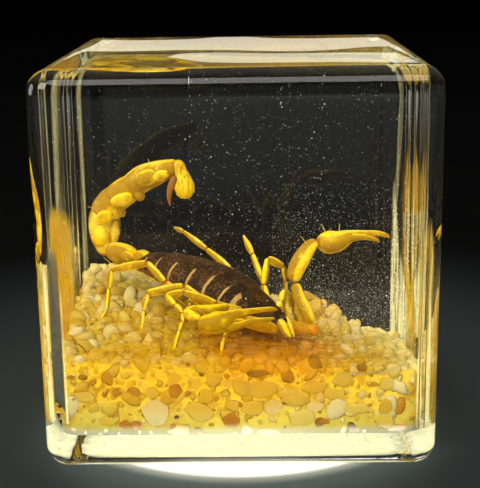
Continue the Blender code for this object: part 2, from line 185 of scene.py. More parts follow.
# Legs: x, y, z, radius in mm at their joints, from the trunk to the foot.
LEGS = {
    "near_first": [
        (2.6, -11.2, 15.4, 0.6),
        (0.8, -14.3, 16.0, 0.5),
        (-0.7, -15.2, 16.4, 0.45),
        (-1.7, -16.5, 14.9, 0.35),
        (-2.1, -18.3, 12.9, 0.2),
    ],
    "near_second": [
        (1.2, -10.0, 15.8, 0.7),
        (-2.6, -12.4, 18.0, 0.5),
        (-6.4, -11.9, 19.4, 0.42),
        (-8.5, -11.7, 18.9, 0.42),
        (-7.4, -13.1, 18.0, 0.5),
        (-6.5, -14.4, 17.3, 0.38),
        (-6.4, -15.2, 16.4, 0.34),
        (-6.8, -16.0, 15.6, 0.3),
        (-7.5, -17.9, 13.4, 0.2),
    ],
    "near_third": [
        (0.0, -8.6, 16.0, 0.8),
        (-3.6, -10.7, 17.2, 0.6),
        (-6.4, -10.5, 19.8, 0.55),
        (-10.8, -9.5, 18.8, 0.5),
        (-11.3, -9.9, 16.8, 0.3),
        (-11.7, -10.5, 14.1, 0.25),
        (-12.6, -11.3, 13.6, 0.17),
    ],
    "near_fourth": [
        (-1.4, -6.8, 16.2, 0.8),
        (-5.6, -7.6, 16.8, 0.6),
        (-8.8, -7.0, 19.6, 0.5),
        (-11.0, -4.6, 21.6, 0.5),
        (-15.6, -1.8, 20.3, 0.45),
        (-15.9, -1.9, 18.0, 0.33),
        (-16.2, -2.9, 15.3, 0.28),
        (-16.9, -3.7, 14.2, 0.18),
    ],
    "far_first": [
        (4.2, -8.8, 15.8, 0.6),
        (5.0, -7.6, 17.2, 0.6),
        (5.4, -6.7, 18.5, 0.5),
        (6.4, -6.0, 16.2, 0.42),
        (7.5, -5.8, 13.2, 0.28),
    ],
    "far_second": [
        (3.3, -7.0, 16.6, 0.6),
        (2.9, -6.2, 19.0, 0.55),
        (3.4, -4.6, 22.0, 0.5),
        (5.3, -3.6, 20.8, 0.42),
        (5.6, -2.9, 18.9, 0.33),
        (5.4, -2.4, 15.8, 0.26),
        (5.9, -2.0, 13.0, 0.2),
    ],
    "far_third": [
        (2.4, -6.2, 17.2, 0.6),
        (3.0, -5.2, 18.8, 0.45),
        (1.6, -2.2, 22.1, 0.45),
        (0.5, -0.5, 24.2, 0.2),
    ],
    "far_fourth": [
        (0.6, -4.6, 18.0, 0.6),
        (-1.1, -1.6, 20.2, 0.45),
        (-4.0, 1.1, 22.2, 0.4),
        (-6.9, 3.9, 24.0, 0.3),
        (-8.2, 6.0, 24.2, 0.15),
    ],
}

# Arms of the claws: paths through x, y, z, radius in mm, with how bright each
# is painted, as light and shade on it; below -0.3 the tone also reddens it.
ARMS = {
    "near": [
        ([(4.6, -11.6, 14.6, 0.5), (2.6, -12.6, 15.4, 0.8), (0.4, -13.4, 16.2, 0.75)], -0.5),
        ([(0.9, -13.2, 15.6, 0.6), (0.0, -13.4, 16.8, 0.7), (-1.4, -13.6, 17.5, 0.6)], -0.5),
        (
            [
                (-1.3, -13.3, 17.8, 0.5),
                (-2.7, -14.2, 17.7, 0.66),
                (-4.1, -14.5, 17.6, 0.76),
                (-5.3, -14.7, 17.6, 0.76),
                (-6.2, -15.0, 17.6, 0.55),
            ],
            0.05,
        ),
        ([(-6.1, -15.0, 17.7, 0.52), (-5.4, -16.3, 17.4, 0.68), (-4.4, -17.5, 17.1, 0.56)], 0.1),
    ],
    "far": [
        ([(5.0, -9.8, 15.2, 0.5), (6.8, -9.4, 14.4, 0.75), (8.6, -9.2, 14.0, 0.85)], -0.5),
        ([(7.9, -9.2, 13.7, 0.7), (8.5, -9.1, 14.1, 0.95), (9.0, -9.0, 14.8, 0.7)], -0.8),
        (
            [
                (8.5, -9.0, 14.5, 0.7),
                (7.9, -8.7, 16.1, 0.8),
                (7.1, -8.2, 17.8, 0.74),
                (6.6, -7.7, 19.6, 0.55),
            ],
            -0.15,
        ),
        (
            [
                (6.4, -7.7, 19.6, 0.7),
                (6.7, -7.5, 21.0, 1.0),
                (7.4, -7.3, 22.4, 1.05),
                (8.3, -7.0, 23.7, 0.85),
                (9.2, -6.7, 24.5, 0.55),
            ],
            -0.1,
        ),
    ],
}
# Hands, each with its longer finger: x, y, z, radius in mm.
HANDS = {
    "near": [
        (-4.6, -17.7, 17.0, 0.6),
        (-4.0, -18.0, 16.9, 0.98),
        (-3.2, -18.3, 16.9, 1.18),
        (-2.3, -18.5, 17.1, 1.34),
        (-1.4, -18.5, 17.45, 1.08),
        (-0.6, -18.4, 17.95, 0.62),
        (0.2, -18.3, 18.2, 0.38),
        (1.3, -18.1, 18.3, 0.34),
        (2.7, -17.8, 18.4, 0.28),
        (3.8, -17.5, 18.4, 0.25),
        (4.5, -17.3, 18.2, 0.1),
    ],
    "far": [
        (9.1, -6.6, 24.4, 0.6),
        (9.8, -6.5, 24.3, 1.08),
        (10.6, -6.3, 24.2, 1.38),
        (11.7, -6.1, 24.3, 1.26),
        (12.8, -5.8, 24.7, 0.9),
        (13.9, -5.5, 25.0, 0.52),
        (15.1, -5.1, 25.0, 0.4),
        (16.3, -4.7, 25.0, 0.3),
        (17.4, -4.3, 24.7, 0.24),
        (18.0, -4.0, 24.3, 0.14),
    ],
}
# The claws' other fingers: x, y, z, radius in mm.
FINGERS = {
    "near": [
        (-2.1, -18.9, 16.5, 0.42),
        (-1.0, -18.8, 16.55, 0.52),
        (0.2, -18.5, 16.75, 0.42),
        (1.3, -18.2, 17.1, 0.34),
        (2.6, -17.9, 17.2, 0.28),
        (3.5, -17.6, 17.2, 0.24),
        (4.1, -17.5, 17.35, 0.1),
    ],
    "far": [
        (12.6, -6.2, 24.5, 0.5),
        (13.4, -6.1, 24.7, 0.48),
        (14.6, -5.7, 24.7, 0.36),
        (15.5, -5.4, 24.5, 0.28),
        (16.3, -5.1, 24.2, 0.24),
        (16.7, -4.9, 23.9, 0.1),
    ],
}
# Rows of small teeth along the inner edges of the fingers: x, y, z in mm.
TEETH = {
    "near": [(0.3, -18.45, 17.68), (1.4, -18.2, 17.97), (2.8, -17.9, 18.12), (4.0, -17.6, 18.15)],
    "far": [(14.3, -5.5, 24.62), (15.3, -5.2, 24.64), (16.4, -4.8, 24.7), (17.3, -4.45, 24.46)],
}
# Combs under the trunk: x, y, z in mm along the line that carries their teeth.
COMBS = [
    [(-0.2, -8.6, 15.4), (-2.0, -9.0, 15.9), (-3.8, -8.4, 16.4)],
    [(2.0, -5.6, 15.2), (0.8, -4.2, 15.6), (-0.8, -3.4, 16.2)],
]
# Dark underside of the head shield: x, y, z, radius in mm.
SHIELD_UNDERSIDE = [
    (0.6, -9.2, 16.3, 0.7),
    (1.8, -9.9, 15.95, 1.0),
    (3.2, -10.7, 15.8, 1.0),
    (4.6, -11.4, 15.7, 0.85),
    (5.6, -11.7, 15.6, 0.5),
]
# Jaws in front of the head shield: x, y, z, radius in mm.
CHELICERAE = [
    [
        (5.2, -10.3, 15.9, 0.4),
        (5.7, -11.1, 15.1, 0.55),
        (6.0, -11.5, 14.4, 0.45),
        (6.4, -11.9, 13.8, 0.12),
    ],
    [
        (4.6, -11.5, 15.9, 0.4),
        (5.1, -12.6, 15.2, 0.58),
        (5.5, -13.0, 14.5, 0.48),
        (6.0, -13.4, 14.0, 0.12),
    ],
]
# Stiff hairs: start, end and how far the middle is lifted, in mm.
HAIRS = [
    ((-0.9, -18.9, 18.3), (1.1, -19.0, 18.0), 0.5),
    ((-3.6, -18.9, 17.8), (-4.6, -19.4, 18.9), 0.2),
    ((-6.4, -15.3, 18.1), (-7.2, -15.9, 19.0), 0.1),
    ((-15.4, -2.0, 20.9), (-16.4, -2.6, 22.0), 0.1),
    ((-13.4, -3.2, 21.6), (-13.9, -3.6, 22.6), 0.1),
    ((10.2, -6.7, 25.4), (9.7, -6.9, 26.6), 0.1),
    ((11.8, -6.4, 25.4), (11.9, -6.6, 26.5), 0.1),
    ((8.0, -7.4, 24.2), (7.2, -7.6, 25.2), 0.1),
    ((-17.6, 4.6, 26.6), (-18.7, 4.2, 27.3), 0.1),
    ((-10.6, 2.2, 32.3), (-10.9, 2.0, 33.4), 0.1),
    ((-6.0, -1.4, 30.4), (-5.1, -1.8, 29.7), 0.1),
]

# Single grains seen at the front face: x, z, half width, half height in mm,
# turn in degrees and tone from pale (0) to dark brown (1).
FRONT_GRAINS = [
    (2.1, 11.45, 1.64, 0.40, 5, 0.98),
    (8.6, 12.65, 1.05, 0.62, -50, 0.95),
    (5.5, 11.05, 0.74, 0.68, -40, 0.92),
    (13.8, 11.95, 0.68, 0.39, 0, 0.93),
    (-13.2, 5.35, 0.57, 0.57, 10, 0.84),
    (-12.0, 5.15, 0.63, 0.52, 0, 0.87),
    (-9.7, 6.65, 1.55, 1.45, 50, 0.03),
    (-4.8, 6.65, 1.72, 1.14, -15, 0.24),
    (-1.2, 5.85, 1.14, 0.86, -20, 0.86),
    (17.9, 4.65, 0.97, 0.57, 0, 0.80),
    (18.2, 6.95, 0.51, 0.63, -50, 0.82),
    (12.8, 4.75, 0.69, 0.57, -20, 0.97),
    (3.4, 4.2, 1.38, 0.40, 0, 0.55),
    (-14.9, 11.05, 0.68, 0.74, 0, 0.80),
    (-14.0, 9.25, 0.51, 0.46, 0, 0.83),
    (-12.1, 9.15, 0.97, 0.74, 0, 0.82),
    (-9.8, 9.25, 0.80, 0.68, 20, 0.30),
    (-7.3, 9.35, 0.80, 0.90, 50, 0.87),
    (3.8, 7.55, 1.10, 1.00, 70, 0.05),
    (8.7, 7.35, 0.97, 0.68, 0, 0.10),
    (10.9, 7.25, 0.80, 0.63, 0, 0.08),
    (7.1, 6.05, 1.60, 1.03, -10, 0.22),
    (5.5, 8.95, 1.42, 0.80, 0, 0.25),
    (2.3, 9.55, 1.87, 0.95, 0, 0.30),
    (0.2, 9.85, 1.25, 1.20, 0, 0.27),
    (-3.8, 8.85, 0.97, 0.97, 0, 0.45),
    (-15.0, 5.75, 1.03, 0.57, 0, 0.50),
    (-4.9, 4.65, 0.52, 0.23, 0, 0.97),
    (10.7, 8.85, 1.31, 0.68, -20, 0.33),
    (16.5, 7.25, 0.80, 0.91, -50, 0.60),
    (13.5, 7.15, 1.54, 0.80, 0, 0.30),
    (16.4, 5.45, 0.97, 1.08, 0, 0.40),
    (-0.7, 7.55, 0.86, 0.63, -30, 0.35),
    (-8.2, 8.25, 0.70, 0.50, 0, 0.72),
    (-17.6, 8.85, 1.14, 0.68, 0, 0.28),
    (-16.6, 7.45, 0.69, 0.69, 0, 0.50),
    (11.5, 10.45, 1.24, 0.80, 0, 0.32),
    (16.8, 10.05, 0.90, 1.02, 0, 0.35),
    (-17.7, 11.15, 0.51, 0.30, 0, 0.93),
    (-19.0, 11.15, 0.42, 0.23, 0, 0.93),
    (-2.9, 10.65, 0.96, 0.91, 0, 0.30),
    (-0.6, 12.25, 0.68, 0.28, 0, 0.84),
    (8.6, 9.65, 1.50, 0.70, 0, 0.36),
    (1.3, 7.25, 1.25, 1.03, 0, 0.36),
    (-7.7, 4.45, 0.57, 0.27, 0, 0.90),
    (9.6, 5.45, 0.68, 0.34, 0, 0.84),
]
# Faint lines left between two pours, through x, y, z in mm.
POUR_LINES = [
    [(-10.0, -21.5, 13.4), (-7.5, -21.5, 13.5), (-4.5, -21.5, 13.3)],
    [
        (11.3, -21.9, 11.4),
        (14.1, -21.9, 11.6),
        (16.7, -21.9, 12.0),
        (18.2, -21.6, 12.5),
        (19.1, -20.4, 13.1),
        (19.6, -17.5, 13.0),
        (20.3, -8.0, 12.0),
        (21.2, 7.5, 10.0),
        (21.8, 20.5, 8.6),
    ],
]
# Dark fibre caught in the resin: x, y, z, radius in mm.
FIBRE = [
    (-18.56, -19.5, 14.97, 0.04),
    (-18.17, -19.5, 14.85, 0.06),
    (-17.73, -19.5, 14.55, 0.06),
    (-17.31, -19.5, 13.94, 0.03),
]
# Thin sheets in the resin on the walls and along the upright edges that paint
# light: gold and cream streaks stand for light carried up the walls and bent
# through the rounded edges, and dull ones for shade in the edges' reflections.
# Stations: x, y, lowest and highest z in mm, strength at the foot and at the top,
# and tone there from dull (-1) over gold (0) to cream (1).
LIGHT_SHEETS = [
    [
        (-22.35, -19.6, 4.5, 26.0, 0.0, 0.0, 0.3, 0.0),
        (-22.35, -15.0, 4.5, 29.5, 0.7, 0.5, 0.3, 0.0),
        (-22.35, -8.0, 4.5, 29.0, 0.9, 0.9, 0.3, 0.0),
        (-22.35, 6.0, 4.5, 27.5, 0.9, 0.9, 0.3, 0.0),
        (-22.35, 18.0, 4.5, 24.0, 0.9, 0.6, 0.5, 0.2),
        (-22.35, 19.8, 4.5, 21.0, 0.2, 0.0, 0.5, 0.2),
    ],
    [
        (-21.35, 21.8, 12.0, 43.0, 0.0, 0.0, 0.6, 0.4),
        (-21.1, 21.98, 12.0, 43.0, 0.4, 0.10, 0.9, 0.6),
        (-20.85, 22.1, 12.0, 43.0, 0.4, 0.10, 0.9, 0.6),
        (-20.6, 22.2, 12.0, 43.0, 0.0, 0.0, 0.6, 0.4),
    ],
    [
        (22.2, 20.6, 4.5, 18.0, 0.9, 0.7, 0.1, 0.0),
        (22.35, 18.8, 4.5, 17.0, 0.95, 0.7, 0.1, 0.0),
        (22.35, 16.5, 4.5, 14.0, 0.95, 0.6, 0.15, 0.0),
        (22.35, 13.0, 4.5, 10.0, 0.5, 0.2, 0.2, 0.0),
        (22.35, 10.0, 4.5, 9.0, 0.0, 0.0, 0.2, 0.0),
    ],
    [
        (22.3, 18.9, 6.0, 9.0, 0.6, 0.3, 1.0, 0.9),
        (22.2, 20.4, 6.0, 12.5, 0.6, 0.4, 1.0, 0.9),
        (21.85, 21.25, 6.0, 15.5, 0.6, 0.4, 1.0, 0.9),
        (21.35, 21.8, 6.0, 19.0, 0.6, 0.35, 1.0, 0.9),
        (20.9, 22.08, 6.0, 24.0, 0.6, 0.3, 1.0, 0.8),
        (20.55, 22.22, 6.0, 28.0, 0.7, 0.2, 1.0, 0.8),
        (20.3, 22.28, 6.0, 28.0, 0.6, 0.1, 1.0, 0.9),
        (20.15, 22.32, 6.0, 24.0, 0.0, 0.0, 1.0, 0.9),
    ],
    [
        (20.4, 22.26, 20.0, 24.0, 0.1, 0.1, 1.0, 1.0),
        (20.65, 22.19, 21.0, 32.0, 0.22, 0.06, 1.0, 1.0),
        (20.9, 22.08, 24.0, 38.0, 0.18, 0.06, 1.0, 1.0),
        (21.15, 21.95, 29.0, 42.0, 0.14, 0.05, 1.0, 1.0),
        (21.5, 21.68, 36.0, 43.0, 0.0, 0.0, 1.0, 1.0),
    ],
    [
        (19.85, -22.34, 5.0, 28.0, 0.0, 0.0, 0.6, 0.0),
        (20.05, -22.33, 5.0, 28.0, 0.85, 0.3, 1.0, 0.2),
        (20.2, -22.31, 5.0, 28.0, 0.6, 0.4, -1.0, -1.0),
        (20.35, -22.27, 5.0, 29.0, 0.85, 0.4, 1.0, 0.1),
        (20.7, -22.17, 5.0, 30.0, 0.85, 0.4, 0.8, 0.0),
        (20.85, -22.1, 5.0, 30.0, 0.6, 0.4, -1.0, -1.0),
        (21.0, -22.03, 5.0, 30.0, 0.85, 0.5, 0.8, 0.0),
        (21.3, -21.85, 5.0, 28.0, 0.85, 0.3, 0.8, 0.0),
        (21.6, -21.6, 5.0, 26.0, 0.1, 0.0, 0.3, 0.0),
        (21.9, -21.22, 5.0, 25.0, 0.8, 0.1, 0.0, -0.2),
        (22.3, -20.2, 5.0, 24.0, 0.7, 0.0, -0.3, -0.3),
    ],
    [
        (-19.35, -22.35, 6.0, 22.0, 0.0, 0.0, 1.0, 1.0),
        (-19.5, -22.35, 6.0, 22.0, 0.8, 0.3, 1.0, 1.0),
        (-19.65, -22.35, 6.0, 24.0, 0.1, 0.0, 1.0, 1.0),
        (-19.75, -22.35, 7.5, 27.0, 1.0, 0.5, -1.0, -1.0),
        (-20.8, -22.13, 8.5, 27.0, 1.0, 0.5, -1.0, -1.0),
        (-20.95, -22.06, 6.0, 25.0, 0.2, 0.1, 0.5, 0.8),
        (-21.2, -21.92, 6.0, 25.0, 0.95, 0.6, 1.0, 1.0),
        (-21.5, -21.68, 6.0, 25.0, 0.8, 0.1, 0.8, 0.8),
        (-21.7, -21.45, 6.0, 25.0, 0.2, 0.1, 0.4, 0.4),
        (-22.0, -21.05, 6.0, 25.0, 0.8, 0.3, -0.1, -0.2),
        (-22.3, -20.2, 6.0, 25.0, 0.7, 0.1, -0.3, -0.3),
    ],
]
# Single grains on top of the bed: x, y, z, half width, half height in mm, and
# tone as above.
TOP_GRAINS = [
    (-13.6, 7.5, 14.2, 1.0, 1.25, 0.03),
    (-15.1, -0.5, 14.5, 0.8, 0.55, 0.12),
    (-13.9, -2.5, 13.6, 1.35, 0.85, 0.15),
    (-10.0, -4.5, 14.0, 1.05, 0.9, 0.18),
    (-10.6, -14.5, 13.6, 1.5, 0.8, 0.2),
    (-19.0, 15.5, 17.2, 0.6, 0.85, 0.05),
    (-14.7, -16.5, 13.4, 0.8, 0.6, 0.25),
    (9.0, 3.5, 15.4, 1.7, 0.5, 0.62),
    (9.5, 1.5, 14.4, 1.05, 1.1, 0.3),
    (10.9, 1.5, 13.6, 0.4, 0.45, 0.0),
    (-6.3, -11.6, 18.6, 0.42, 0.42, 1.0),
]
# Layers of strewn grains: name, how far their middles lie inside the bed's
# faces, whether they cover its walls and underside too, spacing, smallest and
# largest radius in mm, and darkest tone.
GRAIN_LAYERS = [
    ("grains_fine", 0.5, True, 1.15, 0.2, 0.45, 1.0),
    ("grains_middle", 0.75, True, 1.9, 0.45, 0.85, 0.95),
    ("grains_large", 1.05, True, 2.7, 1.0, 1.6, 0.62),
    ("grains_top", 0.45, False, 1.75, 0.6, 1.3, 0.7),
]
# Specks and haze in the resin: name, count, lowest and highest corner of their
# box in mm, how much they gather at its floor (1 is evenly spread), largest
# radius in mm, sides and seed.
SPECK_GROUPS = [
    ("specks_all", 300, (-19.0, -18.0, 15.0), (19.0, 18.0, 43.0), 1.6, 0.075, 5, 3),
    ("specks_middle", 420, (-6.0, -14.0, 17.0), (11.0, 8.0, 41.0), 1.2, 0.085, 5, 8),
    ("specks_low", 200, (-18.0, -19.0, 13.5), (19.0, 0.0, 20.0), 1.0, 0.10, 5, 15),
    ("haze_all", 9000, (-20.0, -20.0, 14.0), (20.5, 19.0, 43.0), 2.4, 0.055, 3, 21),
    ("haze_right", 9000, (4.0, -19.0, 13.0), (20.5, 19.0, 29.0), 2.8, 0.06, 3, 27),
]

# Lamps: name, place, width and height in metres, power in watts, and whether
# the resin mirrors them.
LAMPS = [
    ("key_light", (-0.26, -0.30, 0.34), 0.24, 0.24, 1.3, True),
    ("top_light", (0.05, -0.29, 0.50), 0.40, 0.26, 1.1, True),
    ("front_light", (0.10, -0.55, 0.12), 0.26, 0.26, 1.5, False),
    ("left_light", (-0.42, 0.05, 0.12), 0.20, 0.20, 0.5, True),
    ("high_strip", (-0.018, 1.0, 0.131), 0.46, 0.011, 0.011, True),
    ("low_strip", (0.094, 1.0, 0.1455), 0.36, 0.010, 0.0075, True),
]
LAMP_AIM = (0.0, 0.0, 0.018)
# Floor: how far under the block it lies and the radii of its rings, in metres.
FLOOR_DROP = 0.0001
FLOOR_RINGS = (0.02, 0.04, 0.08, 0.16, 0.4, 1.0, 3.0)
# Camera: focal length in mm, yaw, pitch and roll in degrees, and place in mm.
FOCAL_LENGTH = 84.9
CAMERA_ANGLES = (-0.89, 14.76, -0.83)
CAMERA_PLACE = (2.2, -143.2, 58.7)


# Node graphs -----------------------------------------------------------------


class Value:
    """One socket of a graph, with arithmetic that adds Math nodes."""

    def __init__(self, graph, socket):
        self.graph = graph
        self.socket = socket

    def math(self, operation, *values):
        """Add a Math node with this operation on the given values."""
        inputs = dict(enumerate(values))
        return self.graph.node("ShaderNodeMath", {"operation": operation}, inputs)

    def __add__(self, other):
        return self.math("ADD", self, other)

    def __radd__(self, other):
        return self.math("ADD", other, self)

    def __sub__(self, other):
        return self.math("SUBTRACT", self, other)

    def __rsub__(self, other):
        return self.math("SUBTRACT", other, self)

    def __mul__(self, other):
        return self.math("MULTIPLY", self, other)

    def __rmul__(self, other):
        return self.math("MULTIPLY", other, self)

    def __truediv__(self, other):
        return self.math("DIVIDE", self, other)

    def __pow__(self, other):
        return self.math("POWER", self, other)

    def __abs__(self):
        return self.math("ABSOLUTE", self)

    def step(self, low, high):
        """Ease from 0 at low to 1 at high."""
        settings = {"interpolation_type": "SMOOTHSTEP"}
        inputs = {"Value": self, "From Min": low, "From Max": high}
        return self.graph.node("ShaderNodeMapRange", settings, inputs)

    def near(self, centre, width):
        """Return 1 at the centre that fades to 0 at the width."""
        return 1.0 - abs(self - centre).step(0.0, width)


class Graph:
    """A node tree that is filled through one method."""

    def __init__(self, tree):
        self.tree = tree

    def node(self, kind, settings=None, inputs=None, output=0):
        """Add a node: its settings first, then the values or links it takes."""
        made = self.tree.nodes.new(kind)
        for key, value in (settings or {}).items():
            if key == "stops":
                set_stops(made.color_ramp, value)
            else:
                setattr(made, key, value)
        for key, value in (inputs or {}).items():
            if isinstance(value, Value):
                self.tree.links.new(value.socket, made.inputs[key])
            else:
                made.inputs[key].default_value = value
        return Value(self, made.outputs[output]) if made.outputs else None

    def axes(self, vector):
        """Split a vector into its three values."""
        split = self.node("ShaderNodeSeparateXYZ", inputs={0: vector})
        outputs = split.socket.node.outputs
        return [Value(self, socket) for socket in outputs]


def set_stops(ramp, stops):
    """Give a colour ramp its stops, as (place, colour)."""
    while len(ramp.elements) < len(stops):
        ramp.elements.new(1.0)
    for element, (place, colour) in zip(ramp.elements, stops):
        element.position = place
        element.color = (*colour, 1.0)


class Finish(Graph):
    """A material on one Principled surface."""

    def __init__(self, name, **plain):
        self.material = bpy.data.materials.new(name)
        self.material.use_nodes = True
        super().__init__(self.material.node_tree)
        self.surface = self.tree.nodes["Principled BSDF"]
        for key, value in plain.items():
            self.surface.inputs[key.replace("_", " ")].default_value = value

    def feed(self, socket, value):
        """Link a value to a socket of the surface."""
        self.tree.links.new(value.socket, self.surface.inputs[socket])

    def place(self):
        """Return the point on the piece, in metres from the base's middle."""
        return self.node("ShaderNodeTexCoord", output="Object")

    def guide(self, name="guide"):
        """Return the three values of a guide attribute of the piece."""
        return self.axes(self.attribute(name, "Vector"))

    def attribute(self, name, output):
        """Read an attribute of the piece."""
        return self.node("ShaderNodeAttribute", {"attribute_name": name}, output=output)

    def noise(self, size, detail=2.0, rough=0.5, warp=0.0, place=None):
        """Return soft noise around 0.5, with blotches about size mm wide."""
        inputs = {
            "Vector": place or self.place(),
            "Scale": 1.0 / (size * MM),
            "Detail": detail,
            "Roughness": rough,
            "Distortion": warp,
        }
        return self.node("ShaderNodeTexNoise", None, inputs)

    def cells(self, size, feature="F1", output="Distance", place=None):
        """Return a cell pattern, with cells about size mm wide."""
        inputs = {"Vector": place or self.place(), "Scale": 1.0 / (size * MM)}
        return self.node("ShaderNodeTexVoronoi", {"feature": feature}, inputs, output)

    def warped(self, size, reach):
        """Return the point on the piece, pushed about by up to reach mm."""
        inputs = {"Vector": self.place(), "Scale": 1.0 / (size * MM), "Detail": 2.0}
        push = self.node("ShaderNodeTexNoise", None, inputs, 1)
        inputs = {0: push, 1: (2.0 * reach * MM,) * 3, 2: self.place()}
        return self.node("ShaderNodeVectorMath", {"operation": "MULTIPLY_ADD"}, inputs)

    def mix(self, factor, first, second):
        """Blend two colours."""
        inputs = {0: factor}
        for key, colour in ((6, first), (7, second)):
            inputs[key] = colour if isinstance(colour, Value) else (*colour, 1.0)
        return self.node("ShaderNodeMix", {"data_type": "RGBA"}, inputs, 2)

    def ramp(self, value, stops):
        """Turn a value into a colour by its stops."""
        return self.node("ShaderNodeValToRGB", {"stops": stops}, {0: value})

    def bump(self, height, depth, strength=1.0):
        """Raise the surface by a height of 0 to 1, depth mm at its most."""
        inputs = {"Height": height, "Distance": depth * MM, "Strength": strength}
        self.feed("Normal", self.node("ShaderNodeBump", None, inputs, "Normal"))


# Mesh building ---------------------------------------------------------------

# A path whose start is nearer to upright than this takes its side from a guide.
NEARLY_UPRIGHT = 0.35
UPRIGHT_GUIDE = (0.55, -0.83, 0.0)
# Limbs: the least radius in mm, the longest rounded end of a segment as a share
# of its length, how far the ends close (1 is a point), and how edgy the outline
# of a segment is (2 is round).
THINNEST = 0.03
LONGEST_CAP = 0.3
SEGMENT_CLOSING = 0.94
LIMB_CLOSING = 0.96
SEGMENT_POWER = 1.75


class Shell:
    """Closed skins that become one mesh, with a guide value at each point."""

    def __init__(self):
        self.points = []
        self.guides = []
        self.faces = []
        self.count = 0

    def add(self, points, guides, faces):
        """Take in one closed skin, facing out."""
        points = np.asarray(points, float)
        if signed_volume(points, faces) < 0.0:
            faces = [face[::-1] for face in faces]
        self.points.append(points)
        self.guides.append(np.asarray(guides, float))
        shift = self.count
        self.faces.extend(tuple(corner + shift for corner in face) for face in faces)
        self.count += len(points)

    def rings(self, rings, guides):
        """Take in a skin through rings of points, closed by a pole at each end."""
        rings = np.asarray(rings, float)
        guides = np.asarray(guides, float)
        count, sides = rings.shape[:2]
        points = np.vstack([rings.reshape(-1, 3), rings[0].mean(0), rings[-1].mean(0)])
        values = np.vstack([guides.reshape(-1, 3), guides[0].mean(0), guides[-1].mean(0)])
        first_pole = count * sides
        faces = []
        for step in range(sides):
            after = (step + 1) % sides
            for ring in range(count - 1):
                base = ring * sides
                ahead = base + sides
                faces.append((base + step, ahead + step, ahead + after, base + after))
            faces.append((first_pole, step, after))
            last = (count - 1) * sides
            faces.append((first_pole + 1, last + after, last + step))
        self.add(points, values, faces)

    def piece(self, name, material, smooth=True):
        """Make the object of all the skins taken in; their unit is the mm."""
        mesh = bpy.data.meshes.new(name)
        points = np.vstack(self.points) * MM
        mesh.from_pydata(points.tolist(), [], self.faces)
        guide = mesh.attributes.new("guide", "FLOAT_VECTOR", "POINT")
        guide.data.foreach_set("vector", np.vstack(self.guides).ravel())
        if smooth:
            mesh.shade_smooth()
        return show(name, mesh, material)


def signed_volume(points, faces):
    """Return the volume inside the faces, below 0 where they face in."""
    total = 0.0
    centre = points.mean(0)
    moved = points - centre
    for face in faces:
        for second, third in zip(face[1:], face[2:]):
            total += float(np.dot(moved[face[0]], np.cross(moved[second], moved[third])))
    return total / 6.0


def show(name, mesh, material=None):
    """Put a mesh in the scene as an object at the origin."""
    made = bpy.data.objects.new(name, mesh)
    bpy.context.scene.collection.objects.link(made)
    if material:
        mesh.materials.clear()
        mesh.materials.append(material)
    return made


def keep(piece, slot, *nodes):
    """Let a finished piece ride on the block and stand for solids."""
    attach(piece, BODY)
    if nodes:
        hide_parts(*nodes)


def through(rows, steps):
    """Pass a smooth curve through rows of values, with steps between two."""
    rows = np.asarray(rows, float)
    ends = [2.0 * rows[0] - rows[1], *rows, 2.0 * rows[-1] - rows[-2]]
    made = []
    for index in range(len(rows) - 1):
        before, start, end, after = ends[index : index + 4]
        for step in range(steps):
            t = step / steps
            made.append(
                0.5
                * (
                    2.0 * start
                    + (end - before) * t
                    + (2.0 * before - 5.0 * start + 4.0 * end - after) * t**2
                    + (3.0 * start - before - 3.0 * end + after) * t**3
                )
            )
    made.append(rows[-1])
    return np.array(made)


def carried_frames(centres):
    """Return the unit sides and ups of a path, carried along without a twist."""
    steps = np.gradient(centres, axis=0)
    tangents = steps / np.linalg.norm(steps, axis=1, keepdims=True)
    side = np.cross(tangents[0], (0.0, 0.0, 1.0))
    if np.linalg.norm(side) < NEARLY_UPRIGHT:
        side = np.cross(tangents[0], UPRIGHT_GUIDE)
    sides = []
    for tangent in tangents:
        side = side - tangent * np.dot(side, tangent)
        side = side / np.linalg.norm(side)
        sides.append(side)
    sides = np.array(sides)
    return sides, np.cross(sides, tangents)


def eased(t):
    """Ease a share of 0 to 1, slow at both ends."""
    return t * t * (3.0 - 2.0 * t)


def lens_section(angles, power):
    """Return the reach of a rounded outline: 2 is round, less has edges."""
    across = np.abs(np.cos(angles)) ** power
    over = np.abs(np.sin(angles)) ** power
    return (across + over) ** (-1.0 / power)


def skin_along(shell, centres, radius, share, sides, power, flat=1.0, tone=0.0):
    """Add a closed skin around a path, with a radius and a share at each point.

    flat is its thickness as a share of its height. The guide is (along, edge,
    tone), where the edge is 1 above and below and 0 at the sides.
    """
    aside, up = carried_frames(centres)
    angles = 2.0 * math.pi * np.arange(sides) / sides
    reach = lens_section(angles, power)
    edge = np.abs(np.sin(angles)) ** 2
    made = []
    guides = []
    for index, centre in enumerate(centres):
        across = np.outer(np.cos(angles) * reach * radius[index] * flat, aside[index])
        over = np.outer(np.sin(angles) * reach * radius[index], up[index])
        made.append(centre + across + over)
        guides.append(np.stack([np.full(sides, share[index]), edge, np.full(sides, tone)], 1))
    shell.rings(made, guides)


